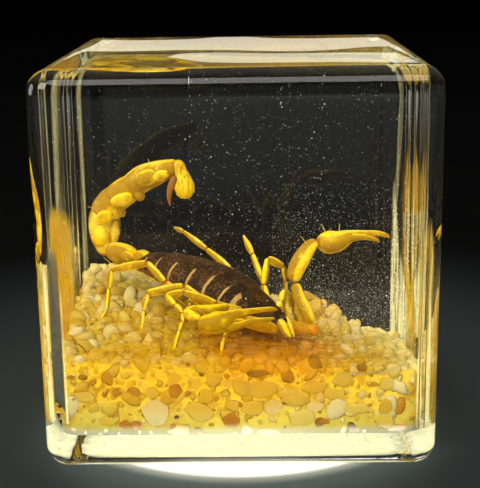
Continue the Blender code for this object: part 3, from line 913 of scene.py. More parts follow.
def limb_segment(shell, start, end, radii, widest=0.4, flat=0.75, sides=14, rings=16):
    """Add one closed segment of a limb, fullest at a share of its length.

    radii are those of its two ends and of its fullest ring.
    """
    start = np.asarray(start[:3], float)
    end = np.asarray(end[:3], float)
    length = float(np.linalg.norm(end - start))
    first, last, full = radii
    share = 0.5 - 0.5 * np.cos(np.linspace(0.04, 0.96, rings) * math.pi)
    share[0], share[-1] = 0.0, 1.0
    rise = np.clip(share / widest, 0.0, 1.0)
    fall = np.clip((share - widest) / (1.0 - widest), 0.0, 1.0)
    radius = np.where(
        share < widest,
        first + (full - first) * eased(rise),
        full + (last - full) * eased(fall),
    )
    cap_start = min(0.8 * first / length, LONGEST_CAP)
    cap_end = min(0.8 * last / length, LONGEST_CAP)
    radius = radius * rounded_end(share / cap_start, SEGMENT_CLOSING)
    radius = radius * rounded_end((1.0 - share) / cap_end, SEGMENT_CLOSING)
    centres = start + (end - start) * share[:, None]
    skin_along(shell, centres, radius, share, sides, SEGMENT_POWER, flat)


def rounded_end(inwards, closing):
    """Return how full a limb is near its end, by the way inwards from it."""
    return np.sqrt(1.0 - (1.0 - np.clip(inwards, 0.0, 1.0)) ** 2 * closing)


def smooth_limb(shell, stations, sides=16, steps=5, power=2.0, tone=0.0):
    """Add a closed skin through stations of x, y, z, radius."""
    rows = through(stations, steps)
    centres = rows[:, :3]
    radius = np.maximum(rows[:, 3], THINNEST)
    lengths = np.linalg.norm(np.diff(centres, axis=0), axis=1)
    walked = np.concatenate([[0.0], np.cumsum(lengths)])
    left = walked[-1] - walked
    radius = radius * rounded_end(walked / radius[0], LIMB_CLOSING)
    radius = radius * rounded_end(left / radius[-1], LIMB_CLOSING)
    share = walked / walked[-1]
    skin_along(shell, centres, radius, share, sides, power, tone=tone)


# Settings ---------------------------------------------------------------------


class ResinSettings(bpy.types.PropertyGroup):
    """Size and clearness of the cast block."""

    edge_radius: FloatProperty(
        name="Edge Radius", description="Rounding of the block's edges",
        default=2.7 * MM, unit="LENGTH", subtype="DISTANCE",
    )
    waviness: FloatProperty(
        name="Waviness", description="How far the polished faces wander inwards",
        default=0.018 * MM, unit="LENGTH", subtype="DISTANCE",
    )
    absorption: FloatProperty(
        name="Absorption", description="Density of the resin's absorption, per metre",
        default=1.6,
    )
    tint: FloatVectorProperty(
        name="Tint", description="Colour that the resin keeps",
        default=(0.96, 0.97, 0.80), subtype="COLOR", size=3,
    )


class ShellSettings(bpy.types.PropertyGroup):
    """Colours of the specimen's shell."""

    # Yellow is the tail's colour and also painted light on the limbs' edges.
    yellow: FloatVectorProperty(
        name="Yellow", description="Bright yellow of the edges and the tail",
        default=(0.92, 0.60, 0.004), subtype="COLOR", size=3,
    )
    # Ochre is painted shade in the middles of the limbs, and the belly's own colour.
    ochre: FloatVectorProperty(
        name="Ochre", description="Darker yellow of the middles of the limbs",
        default=(0.40, 0.218, 0.002), subtype="COLOR", size=3,
    )
    joint: FloatVectorProperty(
        name="Joint", description="Reddish brown of the joints",
        default=(0.34, 0.08, 0.004), subtype="COLOR", size=3,
    )
    brown: FloatVectorProperty(
        name="Brown", description="Dark brown of the back plates",
        default=(0.022, 0.010, 0.003), subtype="COLOR", size=3,
    )
    seam: FloatVectorProperty(
        name="Seam", description="Pale tan between the back plates",
        default=(0.52, 0.32, 0.09), subtype="COLOR", size=3,
    )


class GravelSettings(bpy.types.PropertyGroup):
    """Sizes and colours of the grains."""

    seed: IntProperty(
        name="Seed", description="Changes how the grains lie", default=4, min=0,
    )
    cream: FloatVectorProperty(
        name="Cream", description="Pale grains",
        default=(0.60, 0.46, 0.09), subtype="COLOR", size=3,
    )
    amber: FloatVectorProperty(
        name="Amber", description="Amber grains",
        default=(0.44, 0.22, 0.010), subtype="COLOR", size=3,
    )
    gold: FloatVectorProperty(
        name="Gold", description="Golden stain along the front",
        default=(0.60, 0.31, 0.003), subtype="COLOR", size=3,
    )
    stain: FloatVectorProperty(
        name="Stain", description="Orange stain under the specimen",
        default=(0.62, 0.235, 0.001), subtype="COLOR", size=3,
    )
    # Painted light: the pale yellow of the bed's underside stands for the light that rises into it
    # from below.
    painted_glow: FloatVectorProperty(
        name="Glowing", description="Pale yellow of the bed's lit underside",
        default=(0.98, 0.95, 0.68), subtype="COLOR", size=3,
    )


class StageSettings(bpy.types.PropertyGroup):
    """Floor and light."""

    floor: FloatVectorProperty(
        name="Floor", description="Colour of the floor under the block",
        default=(0.40, 0.42, 0.40), subtype="COLOR", size=3,
    )
    light: FloatProperty(
        name="Light", description="Strength of the soft lights", default=1.0, min=0.0,
    )
    glow: FloatProperty(
        name="Glow", description="Light that rises from under the block", default=2.15, min=0.0,
    )


class BlockSettings(bpy.types.PropertyGroup):
    """All settings of the part."""

    resin: PointerProperty(type=ResinSettings)
    shell: PointerProperty(type=ShellSettings)
    gravel: PointerProperty(type=GravelSettings)
    stage: PointerProperty(type=StageSettings)


# Finishes ---------------------------------------------------------------------


def finish_named(name, make):
    """Return the material of that name, made the first time it is asked for."""
    return bpy.data.materials.get(name) or make(name).material


def yellow_shell(name):
    """Waxy yellow shell, reddish at the joints, with painted light: ochre middles and bright edges.
    """
    colours = bpy.context.scene.resin_block.shell
    finish = Finish(
        name,
        Roughness=0.45,
        Specular_IOR_Level=0.12,
        Subsurface_Weight=0.3,
        Subsurface_Radius=(1.0, 0.7, 0.05),
        Subsurface_Scale=0.5 * MM,
    )
    along, edge, tone = finish.guide()
    patches = finish.noise(1.4, detail=3.0)
    fine = finish.noise(0.3, detail=2.0)
    # Painted light: each limb's top and bottom edges are painted bright yellow and its middle
    # ochre, as light shining through the thin edges. The tone paints some parts brighter or darker.
    # The patches are the shell's own mottling.
    lit = edge.step(0.25, 0.85) * 0.75 + (patches - 0.5) * 1.7 + tone * 1.2 + 0.1
    colour = finish.mix(lit.step(0.1, 0.85), tuple(colours.ochre), tuple(colours.yellow))
    # Paler yellow: partly the shell's own pale patches and partly a painted highlight along the
    # edges.
    pale_and_lit = (finish.noise(2.6) - 0.5) * 2.0 + edge * 0.5 + (fine - 0.5) - 0.1
    colour = finish.mix(pale_and_lit.step(0.15, 0.6) * 0.5, colour, (1.0, 0.80, 0.07))
    red = (0.0 - tone).step(0.3, 0.7)
    colour = finish.mix(red * patches.step(0.3, 0.55), colour, (0.70, 0.27, 0.004))
    joint = along.near(0.0, 0.09) + along.near(1.0, 0.07)
    colour = finish.mix((joint * 0.8).step(0.15, 1.0), colour, tuple(colours.joint))
    dots = finish.cells(0.3).step(0.36, 0.2) * fine.step(0.48, 0.6)
    colour = finish.mix(dots * 0.55, colour, (0.24, 0.10, 0.004))
    finish.feed("Base Color", colour)
    finish.bump(fine + finish.cells(0.3) * 0.8, 0.05, 0.6)
    return finish


def bulb_shell(name):
    """Yellow bulb with faint darker stripes down its sides."""
    colours = bpy.context.scene.resin_block.shell
    finish = Finish(
        name,
        Roughness=0.4,
        Specular_IOR_Level=0.15,
        Subsurface_Weight=0.35,
        Subsurface_Radius=(1.0, 0.7, 0.05),
        Subsurface_Scale=0.6 * MM,
    )
    along, _, tone = finish.guide()
    x, y, z = finish.axes(finish.place())
    streaks = finish.node(
        "ShaderNodeCombineXYZ", None, {0: x * 3.6, 1: y * 3.6, 2: z * 0.5}
    )
    stripes = finish.noise(1.1, detail=3.0, place=streaks)
    lit = (stripes - 0.5) * 2.2 + along * 0.6 + 0.35
    colour = finish.mix(lit.step(0.1, 0.9), tuple(colours.ochre), tuple(colours.yellow))
    finish.feed("Base Color", finish.mix(tone.step(0.5, 1.0), colour, (0.26, 0.10, 0.008)))
    finish.bump(stripes, 0.06, 0.5)
    return finish


def dark_shell(name):
    """Granular chocolate back plates with pale seams."""
    colours = bpy.context.scene.resin_block.shell
    finish = Finish(name, Roughness=0.5, Specular_IOR_Level=0.15)
    along, edge, seam = finish.guide()
    patches = finish.noise(1.6, detail=4.0, rough=0.6)
    grains = finish.cells(0.3)
    brown = tuple(colours.brown)
    light = (0.13, 0.055, 0.008)
    shade = (patches - 0.5) * 2.2 + (grains - 0.5) * 1.6 - along * 0.2 + 0.3
    colour = finish.mix(shade.step(0.0, 0.9), brown, light)
    flank = 1.0 - edge.step(0.30, 0.62)
    colour = finish.mix(flank * patches.step(0.42, 0.62) * 0.6, colour, (0.36, 0.16, 0.02))
    rim = (seam + (finish.noise(0.8) - 0.5) * 0.7).step(0.45, 0.75)
    colour = finish.mix(rim * 0.9, colour, tuple(colours.seam))
    belly = 1.0 - edge.step(0.12, 0.28)
    colour = finish.mix(belly, colour, tuple(colours.ochre))
    finish.feed("Base Color", colour)
    finish.bump(grains + patches, 0.09, 0.8)
    return finish


def underside_shell(name):
    """Dull dark brown of the shield's underside, faintly granular."""
    finish = Finish(name, Roughness=0.6, Specular_IOR_Level=0.1)
    patches = finish.noise(0.8, detail=3.0)
    colour = finish.mix(patches.step(0.35, 0.7), (0.012, 0.006, 0.003), (0.09, 0.04, 0.008))
    finish.feed("Base Color", colour)
    finish.bump(finish.cells(0.3), 0.06, 0.6)
    return finish


def eye_shell(name):
    """Glossy black of the eyes, faintly mottled."""
    finish = Finish(name, Roughness=0.08, Specular_IOR_Level=0.6)
    tone = finish.noise(0.2)
    finish.feed("Base Color", finish.mix(tone, (0.004, 0.003, 0.003), (0.02, 0.012, 0.008)))
    return finish


def clear_resin(name):
    """Clear cast resin, faintly yellow."""
    settings = bpy.context.scene.resin_block.resin
    finish = Finish(
        name,
        Base_Color=(1.0, 1.0, 1.0, 1.0),
        Roughness=0.0,
        IOR=1.5,
        Transmission_Weight=1.0,
    )
    volume = finish.tree.nodes.new("ShaderNodeVolumeAbsorption")
    volume.inputs["Color"].default_value = (*settings.tint, 1.0)
    volume.inputs["Density"].default_value = settings.absorption
    output = finish.tree.nodes["Material Output"]
    finish.tree.links.new(volume.outputs["Volume"], output.inputs["Volume"])
    return finish


def stained(finish, colour, amount):
    """Stain a gravel colour by its place in the bed.

    It is gold along the front and orange under the specimen. Cream at the back
    and high along the right wall, and nearly white on the underside, are painted
    light.
    """
    colours = bpy.context.scene.resin_block.gravel
    x, y, z = finish.axes(finish.place())
    wander = (finish.noise(4.0, detail=3.0) - 0.5) * 1.6
    wide = ((x + 2.0 * MM) / (17.0 * MM)) ** 2.0 + ((z - 10.7 * MM) / (4.4 * MM)) ** 2.0
    gold = 1.0 - (wide + wander).step(0.3, 1.4)
    tight = ((x - 4.0 * MM) / (9.5 * MM)) ** 2.0 + ((z - 13.6 * MM) / (3.8 * MM)) ** 2.0
    orange = (1.0 - (tight + wander).step(0.2, 1.3)) * (1.0 - y.step(-2.0 * MM, 6.0 * MM))
    colour = finish.mix(gold * amount, colour, tuple(colours.gold))
    colour = finish.mix(orange * amount, colour, tuple(colours.stain))
    # Painted light: cream at the back and high along the right wall, where the bed is painted as if
    # more light fell on it.
    beside = (x + wander * 1.5 * MM).step(15.0 * MM, 20.0 * MM)
    high = (z + wander * 1.0 * MM).step(8.0 * MM, 12.0 * MM)
    behind = (y + wander * 3.0 * MM).step(8.0 * MM, 17.0 * MM)
    pale_and_lit = (beside * high).math("MAXIMUM", beside * high, behind)
    colour = finish.mix(pale_and_lit * 0.6, colour, (0.82, 0.70, 0.26))
    # Painted light: the underside is painted nearly white, for the light rising into it from below.
    under = 1.0 - (z + wander * 0.6 * MM).step(4.1 * MM, 5.4 * MM)
    return finish.mix(under, colour, tuple(colours.painted_glow))


def gravel_finish(name):
    """Translucent cream, gold and brown grains, stained orange in the middle, with painted shade at
    their edges along the bed's faces.
    """
    colours = bpy.context.scene.resin_block.gravel
    finish = Finish(
        name,
        Roughness=0.4,
        Specular_IOR_Level=0.15,
        Subsurface_Weight=0.4,
        Subsurface_Radius=(1.0, 0.8, 0.3),
        Subsurface_Scale=0.5 * MM,
    )
    tone = finish.attribute("tone", "Fac")
    cream, amber = tuple(colours.cream), tuple(colours.amber)
    colour = finish.ramp(
        tone,
        [
            (0.0, (0.64, 0.56, 0.25)),
            (0.2, cream),
            (0.5, (0.54, 0.38, 0.035)),
            (0.75, amber),
            (0.87, (0.36, 0.13, 0.006)),
            (0.94, (0.16, 0.06, 0.010)),
            (1.0, (0.05, 0.025, 0.012)),
        ],
    )
    mottle = finish.noise(0.9, detail=4.0, rough=0.6)
    colour = finish.mix((mottle - 0.4) * 0.7, colour, (0.52, 0.33, 0.04))
    colour = stained(finish, colour, 0.6 - tone.step(0.55, 0.85) * 0.5)
    x, y, z = finish.axes(finish.place())
    # Painted shade: grains are darkened in a band just inside the bed's outer faces, where they
    # curve away from the flat front, as dark gaps around them.
    outer = abs(x).math("MAXIMUM", abs(x), abs(y))
    rim = outer.near((BED_HALF - 0.42) * MM, 0.10 * MM) * z.step(4.2 * MM, 5.6 * MM)
    colour = finish.mix(rim * finish.noise(1.6).step(0.38, 0.58) * 0.8, colour, (0.22, 0.10, 0.006))
    finish.feed("Base Color", colour)
    finish.bump(mottle, 0.06, 0.5)
    return finish


def matrix_finish(name):
    """Golden resin between the grains, with the grains that lie behind it, and painted light:
    bright seams and a bright lower part.
    """
    colours = bpy.context.scene.resin_block.gravel
    finish = Finish(
        name,
        Roughness=0.4,
        Specular_IOR_Level=0.1,
        Subsurface_Weight=0.4,
        Subsurface_Radius=(1.0, 0.8, 0.3),
        Subsurface_Scale=0.5 * MM,
    )
    z = finish.axes(finish.place())[2]
    bent = finish.warped(1.3, 0.9)
    tone = finish.axes(finish.cells(1.5, output="Color", place=bent))[0]
    rim = finish.cells(1.5, "DISTANCE_TO_EDGE", place=bent)
    small = finish.axes(finish.cells(0.6, output="Color", place=bent))[1]
    colour = finish.ramp(
        tone,
        [
            (0.0, (0.66, 0.50, 0.12)),
            (0.35, (0.66, 0.42, 0.02)),
            (0.7, (0.56, 0.30, 0.006)),
            (1.0, (0.38, 0.17, 0.004)),
        ],
    )
    colour = finish.mix(small.step(0.6, 1.0) * 0.5, colour, (0.72, 0.55, 0.12))
    colour = stained(finish, colour, 0.7)
    # Painted light: the seams between the painted grains are bright yellow, for light shining up
    # through the gaps.
    seam = rim.step(0.16, 0.02)
    colour = finish.mix(seam * 0.7, colour, (0.88, 0.62, 0.02))
    # Painted light: the lower part is painted bright yellow and the underside pale, for light
    # rising from below.
    low = 1.0 - (z + (finish.noise(2.0) - 0.5) * 4.0 * MM).step(4.2 * MM, 9.5 * MM)
    colour = finish.mix(low * 0.85, colour, (1.0, 0.82, 0.13))
    under = 1.0 - z.step(4.0 * MM, 5.2 * MM)
    colour = finish.mix(under, colour, tuple(colours.painted_glow))
    finish.feed("Base Color", colour)
    finish.bump(finish.noise(1.0, detail=3.0) - seam * 0.3, 0.12, 0.5)
    return finish


def skin_finish(name):
    """Dyed resin over the gravel: gold in front, orange under the specimen."""
    colours = bpy.context.scene.resin_block.gravel
    finish = Finish(name, Roughness=0.6, Specular_IOR_Level=0.0)
    x, y, z = finish.axes(finish.place())
    wander = (finish.noise(3.5, detail=4.0, rough=0.6) - 0.5) * 1.8
    blots = finish.noise(1.5, detail=3.0)
    wide = ((x + 2.5 * MM) / (19.5 * MM)) ** 2.0 + ((z - 11.6 * MM) / (4.6 * MM)) ** 2.0
    gold = 1.0 - (wide + wander).step(0.25, 1.35)
    tight = ((x - 4.0 * MM) / (9.5 * MM)) ** 2.0 + ((y + 14.0 * MM) / (13.0 * MM)) ** 2.0
    orange = (1.0 - (tight + wander).step(0.2, 1.2)) * z.step(9.5 * MM, 12.0 * MM)
    colour = finish.mix(blots.step(0.3, 0.7), (0.50, 0.24, 0.002), (0.64, 0.38, 0.006))
    colour = finish.mix(orange, colour, tuple(colours.stain))
    finish.feed("Base Color", colour)
    upper = 0.3 + z.step(9.5 * MM, 12.5 * MM) * 0.7
    cover = gold.math("MAXIMUM", gold, orange) * upper * (blots.step(0.35, 0.65) * 0.6 + 0.2)
    front = (0.0 - y).step(20.8 * MM, 21.4 * MM)
    inside = (1.0 - y.step(-4.0 * MM, 10.0 * MM) * 0.7) * (1.0 - front * 0.45)
    finish.feed("Alpha", cover * inside)
    return finish


def speck_finish(name):
    """Bright white of dust and tiny bubbles."""
    finish = Finish(name, Roughness=0.3, Specular_IOR_Level=0.5)
    tone = finish.noise(0.5)
    finish.feed("Base Color", finish.mix(tone, (1.0, 1.0, 0.9), (0.7, 0.68, 0.5)))
    return finish


def light_sheet_finish(name):
    """Painted light: golden and pale streaks, with painted shade where dull, clear between them."""
    finish = Finish(name, Roughness=0.6, Specular_IOR_Level=0.0)
    strength, tone, share = finish.guide()
    x, y, z = finish.axes(finish.place())
    upright = finish.node("ShaderNodeCombineXYZ", None, {0: x, 1: y, 2: z * 0.03})
    flat = 1.0 - abs(y).step(19.2 * MM, 19.9 * MM)
    smears = finish.noise(2.4, detail=4.0, rough=0.6)
    lines = finish.noise(0.32, detail=2.0, place=upright)
    streaks = lines + (smears - lines) * flat
    fine = finish.noise(0.5, detail=4.0, rough=0.7)
    shade = (tone + (streaks - 0.5) * 2.6 + (fine - 0.5) * 0.6).step(0.0, 1.0)
    gold = finish.mix(flat, (0.66, 0.41, 0.010), (0.95, 0.63, 0.010))
    colour = finish.mix(shade, gold, (0.88, 0.84, 0.42))
    # Painted shade: dull places are painted dark olive grey.
    painted_dark = (0.0 - tone).step(0.4, 0.9)
    colour = finish.mix(painted_dark, colour, (0.085, 0.088, 0.060))
    finish.feed("Base Color", colour)
    contrast = 3.0 - painted_dark * 2.6 - flat * 1.6
    cover = strength * (0.65 + painted_dark * 0.25 + (streaks - 0.5) * contrast + (fine - 0.5) * 0.6)
    finish.feed("Alpha", cover * (1.0 - share.step(0.86, 1.0)))
    return finish


def pour_finish(name):
    """Faint pale line left between two pours."""
    finish = Finish(name, Roughness=0.3, Specular_IOR_Level=0.3)
    tone = finish.noise(2.0)
    finish.feed("Base Color", finish.mix(tone, (0.55, 0.50, 0.30), (0.28, 0.24, 0.10)))
    return finish


def floor_finish(name):
    """Matt floor: it glows under the block, its colour fades to dark away from it as painted
    fall-off of the light, and it is pale again in front.
    """
    settings = bpy.context.scene.resin_block.stage
    finish = Finish(name, Roughness=0.9, Specular_IOR_Level=0.0)
    place = finish.place()
    distance = finish.node(
        "ShaderNodeVectorMath", {"operation": "LENGTH"}, {0: place}, "Value"
    )
    x, y, _ = finish.axes(place)
    # Painted shade: the colour darkens with distance from the block, to near black further out, for
    # the light falling off.
    aside = ((x**2.0 + (y + 9.0 * MM) ** 2.0) ** 0.5).step(0.015, 0.029)
    around = finish.mix(aside, (0.095, 0.125, 0.13), (0.034, 0.040, 0.040))
    colour = finish.mix(distance.step(0.0235, 0.0260), tuple(settings.floor), around)
    colour = finish.mix(distance.step(0.034, 0.09), colour, (0.006, 0.006, 0.006))
    ahead = (0.0 - y).step(0.08, 0.14)
    colour = finish.mix(ahead, colour, (0.21, 0.22, 0.21))
    finish.feed("Base Color", colour)
    glow = finish.mix(distance.step(0.0222, 0.0243), (1.0, 0.97, 0.80), (0.0, 0.0, 0.0))
    finish.feed("Emission Color", glow)
    finish.surface.inputs["Emission Strength"].default_value = settings.glow
    return finish


# Operators --------------------------------------------------------------------

# Strewn grains: the most that are tried to a square metre, and how often their
# lumpiness repeats over one metre.
DENSEST = 4.0e6
LUMP_SCALE = 900.0
# Every grain: its flat sides, how sharp its edges are, the seeds of the shapes
# that the strewn ones repeat, and the first seed of those on top of the bed.
GRAIN_SIDES = 11
GRAIN_WEAR = 14.0
FIRST_SHAPE_SEED = 300
FIRST_TOP_SEED = 100
# Thickness of a sheet of painted light to each side of its middle, in mm.
SHEET_HALF = 0.012
WARM_WHITE = (1.0, 0.94, 0.74)
SOFT_WHITE = (1.0, 0.98, 0.94)


class BuildResinBlock(bpy.types.Operator):
    """Cast the clear rounded block"""

    bl_idname = "resin_block.build_block"
    bl_label = "Clear Resin Block"

    def execute(self, context):
        settings = context.scene.resin_block.resin
        low, high = CAD_BOUNDS
        centre = (Vector(low) + Vector(high)) / 2.0
        half = (Vector(high) - Vector(low)) / 2.0
        mesh = rounded_box(half, settings.edge_radius, settings.waviness)
        mesh.transform(Matrix.Translation(centre))
        block = show("resin_block", mesh, finish_named("polished_resin", clear_resin))
        block.visible_shadow = False
        keep(block, "clear_resin", "resin_upper", "resin_lower")
        return {"FINISHED"}


def rounded_box(half, radius, waviness, flat_steps=36, bend_steps=6):
    """Return a smooth box with rounded edges whose faces wander inwards."""
    flats = np.linspace(-1.0, 1.0, flat_steps + 1)
    bends = np.linspace(0.0, 1.0, bend_steps + 1)[1:]
    mesh = bpy.data.meshes.new("resin_block")
    index_of = {}
    points = []
    faces = []

    def corner(vector):
        key = tuple(round(part, 6) for part in vector)
        if key not in index_of:
            index_of[key] = len(points)
            points.append(key)
        return index_of[key]

    share = [1.0 - radius / part for part in half]
    lines = []
    for axis in range(3):
        inner = flats * share[axis]
        outer = share[axis] + (1.0 - share[axis]) * bends
        lines.append(np.concatenate([-outer[::-1], inner, outer]))
    for axis in range(3):
        first, second = (axis + 1) % 3, (axis + 2) % 3
        for sign in (-1.0, 1.0):
            for i in range(len(lines[first]) - 1):
                for j in range(len(lines[second]) - 1):
                    quad = []
                    for di, dj in ((0, 0), (1, 0), (1, 1), (0, 1)):
                        vector = [0.0, 0.0, 0.0]
                        vector[axis] = sign
                        vector[first] = lines[first][i + di]
                        vector[second] = lines[second][j + dj]
                        quad.append(corner(vector))
                    faces.append(tuple(quad if sign > 0.0 else quad[::-1]))
    made = []
    for key in points:
        point = Vector([key[axis] * half[axis] for axis in range(3)])
        inner = Vector(
            [
                min(max(point[axis], radius - half[axis]), half[axis] - radius)
                for axis in range(3)
            ]
        )
        # Spread the grid evenly over the bends, then push out to the radius.
        out = Vector()
        for axis in range(3):
            over = (point[axis] - inner[axis]) / radius
            out[axis] = math.tan(over * math.pi / 4.0)
        direction = out.normalized() if out.length > 0.0 else Vector((0.0, 0.0, 1.0))
        point = inner + direction * radius
        # The base stays flat: the waviness grows over the first 4 mm above it.
        wander = noise.noise(point * 90.0 + Vector((3.1, 1.7, 9.2)))
        lift = min(max((point.z + half.z) / (4.0 * MM), 0.0), 1.0)
        point -= direction * (0.5 + 0.5 * wander) * waviness * lift
        made.append(point)
    mesh.from_pydata(made, [], faces)
    mesh.shade_smooth()
    return mesh


class BuildTrunk(bpy.types.Operator):
    """Build the trunk with its plates, the head shield and the eyes"""

    bl_idname = "resin_block.build_trunk"
    bl_label = "Trunk"

    def execute(self, context):
        shell = Shell()
        shell.rings(*trunk_rings())
        trunk = shell.piece("trunk", finish_named("brown_plates", dark_shell))
        keep(trunk, "scorpion_shell", "scorpion")
        shell = Shell()
        for x, y, z, radius in EYES:
            bead = [
                (x - radius, y, z, 0.5 * radius),
                (x, y, z, radius),
                (x + radius, y, z, 0.5 * radius),
            ]
            smooth_limb(shell, bead, sides=14, steps=4)
        eyes = shell.piece("eyes", finish_named("black_eyes", eye_shell))
        keep(eyes, "scorpion_shell", "scorpion")
        return {"FINISHED"}


def trunk_rings(sides=56):
    """Return the rings of the trunk and their guides (along, height, rim)."""
    shares = []
    for start, end in zip(PLATE_SEAMS, (*PLATE_SEAMS[1:], 1.0)):
        shares.extend([start, *np.linspace(start + 0.010, end - 0.005, 8)])
    shares = np.array([*shares, 1.0])
    rows = through(TRUNK, 12)
    places = np.linspace(0.0, 1.0, len(rows))
    path = np.stack([np.interp(shares, places, rows[:, k]) for k in range(5)], 1)
    aside, up = carried_frames(path[:, :3])
    rings = []
    guides = []
    for index, share in enumerate(shares):
        seam = max(start for start in PLATE_SEAMS if start <= share + 1e-6)
        following = min([start for start in PLATE_SEAMS if start > seam] + [1.0])
        behind = share - seam
        step = 0.0
        if behind > SEAM_WIDTH and seam != PLATE_SEAMS[-1]:
            step = PLATE_STEP * (1.0 - behind / (following - seam)) ** 0.8
        end_round = math.sqrt(max(1.0 - max(share - 0.93, 0.0) ** 2 / 0.0052, 0.02))
        start_round = math.sqrt(max(1.0 - max(0.03 - share, 0.0) ** 2 / 0.0012, 0.05))
        width = (path[index, 3] + step) * end_round * start_round
        height = (path[index, 4] + step) * end_round * start_round
        ring = []
        values = []
        for side in range(sides):
            angle = math.tau * side / sides
            across = math.cos(angle)
            over = math.sin(angle)
            dome = over if over > 0.0 else FLAT_BELLY * over
            reach = (abs(across) ** TRUNK_POWER + abs(over) ** TRUNK_POWER) ** (-1.0 / TRUNK_POWER)
            ring.append(
                path[index, :3]
                + aside[index] * across * width * reach
                + up[index] * dome * height * reach
            )
            # The rims fade out on the top of the back.
            rim = 1.0 if behind < RIM_WIDTH else 0.0
            rim *= min(max((0.97 - over) / 0.25, 0.0), 1.0)
            values.append((share, 0.5 + 0.5 * over, rim))
        rings.append(ring)
        guides.append(values)
    return rings, guides


class BuildTail(bpy.types.Operator):
    """Build the tail's segments, the venom bulb and the sting"""

    bl_idname = "resin_block.build_tail"
    bl_label = "Tail"

    def execute(self, context):
        shell = Shell()
        for stations in TAIL_SEGMENTS:
            smooth_limb(shell, stations, sides=28, steps=8, power=2.3, tone=-0.28)
        for start, end, radius, tone in TAIL_KEELS:
            start, end = np.array(start), np.array(end)
            stations = [
                (*(start + (end - start) * share), radius * part)
                for share, part in ((0.0, 0.55), (0.3, 0.92), (0.6, 1.0), (1.0, 0.6))
            ]
            smooth_limb(shell, stations, sides=16, steps=5, power=2.2, tone=tone)
        tail = shell.piece("tail", finish_named("yellow_limbs", yellow_shell))
        keep(tail, "scorpion_shell", "scorpion")
        shell = Shell()
        smooth_limb(shell, BULB, sides=28, steps=7, tone=0.0)
        smooth_limb(shell, STING, sides=14, steps=6, tone=1.0)
        bulb = shell.piece("venom_bulb", finish_named("striped_bulb", bulb_shell))
        keep(bulb, "scorpion_shell", "scorpion")
        return {"FINISHED"}


class BuildLegs(bpy.types.Operator):
    """Build the eight legs and the stiff hairs"""

    bl_idname = "resin_block.build_legs"
    bl_label = "Legs"

    def execute(self, context):
        for name, joints in LEGS.items():
            shell = Shell()
            for start, end in zip(joints, joints[1:]):
                full = max(start[3], end[3]) * 1.1
                limb_segment(shell, start, end, (start[3] * 0.85, end[3] * 0.9, full))
            leg = shell.piece(f"leg_{name}", finish_named("yellow_limbs", yellow_shell))
            keep(leg, "scorpion_shell", "scorpion")
        shell = Shell()
        for start, end, lift in HAIRS:
            middle = [(start[k] + end[k]) / 2.0 + (lift if k == 2 else 0.0) for k in range(3)]
            stations = [(*start, 0.045), (*middle, 0.038), (*end, 0.02)]
            smooth_limb(shell, stations, sides=6, steps=6, tone=0.4)
        hairs = shell.piece("hairs", finish_named("yellow_limbs", yellow_shell))
        keep(hairs, "scorpion_shell", "scorpion")
        return {"FINISHED"}


class BuildClaws(bpy.types.Operator):
    """Build the claws, the jaws, the shield's underside, and the teeth and combs"""

    bl_idname = "resin_block.build_claws"
    bl_label = "Claws"

    def execute(self, context):
        material = finish_named("yellow_limbs", yellow_shell)
        for name, parts in ARMS.items():
            shell = Shell()
            for stations, tone in parts:
                smooth_limb(shell, stations, sides=20, steps=6, tone=tone)
            smooth_limb(shell, HANDS[name], sides=28, steps=7, tone=0.05)
            smooth_limb(shell, FINGERS[name], sides=20, steps=6, tone=-0.1)
            claw = shell.piece(f"claw_{name}", material)
            keep(claw, "scorpion_shell", "scorpion")
        shell = Shell()
        for stations in CHELICERAE:
            smooth_limb(shell, stations, sides=16, steps=5, tone=-0.1)
        jaws = shell.piece("chelicerae", material)
        keep(jaws, "scorpion_shell", "scorpion")
        shell = Shell()
        smooth_limb(shell, SHIELD_UNDERSIDE, sides=20, steps=6, tone=0.0)
        below = shell.piece("shield_underside", finish_named("dark_underside", underside_shell))
        keep(below, "scorpion_shell", "scorpion")
        tree = row_tree("teeth_in_rows", material)
        for name, points in TEETH.items():
            row = stand_in_row(
                points, tree, f"teeth_{name}", Count=11, Width=0.07 * MM, Length=0.2 * MM,
            )
            keep(row, "scorpion_shell", "scorpion")
        for index, points in enumerate(COMBS):
            row = stand_in_row(
                points, tree, f"comb_{index + 1}", Count=18, Width=0.09 * MM, Length=0.9 * MM,
            )
            keep(row, "scorpion_shell", "scorpion")
        return {"FINISHED"}


def row_tree(name, material):
    """Build the Geometry Nodes tree that sets pointed teeth along a line."""
    sockets = (
        ("Line", "NodeSocketGeometry", None),
        ("Count", "NodeSocketInt", 10),
        ("Width", "NodeSocketFloat", 0.1 * MM),
        ("Length", "NodeSocketFloat", 0.3 * MM),
    )
    tree, graph, given = new_tree(name, sockets)
    line = graph.node("GeometryNodeMeshToCurve", None, {"Mesh": given["Line"]})
    places = graph.node(
        "GeometryNodeResampleCurve", {"mode": "COUNT"}, {"Curve": line, "Count": given["Count"]}
    )
    tooth = graph.node(
        "GeometryNodeMeshCone",
        None,
        {
            "Vertices": 6,
            "Radius Top": given["Width"] * 0.25,
            "Radius Bottom": given["Width"],
            "Depth": given["Length"],
        },
    )
    turn = graph.node(
        "FunctionNodeRandomValue",
        {"data_type": "FLOAT_VECTOR"},
        {"Min": (math.pi - 0.2, -0.2, 0.0), "Max": (math.pi + 0.2, 0.2, math.tau), "Seed": 5},
    )
    stood = graph.node(
        "GeometryNodeInstanceOnPoints",
        None,
        {"Points": places, "Instance": tooth, "Rotation": turn},
    )
    real = graph.node("GeometryNodeRealizeInstances", None, {"Geometry": stood})
    made = graph.node(
        "GeometryNodeSetMaterial", None, {"Geometry": real, "Material": material}
    )
    graph.node("NodeGroupOutput", None, {"Made": made})
    return tree


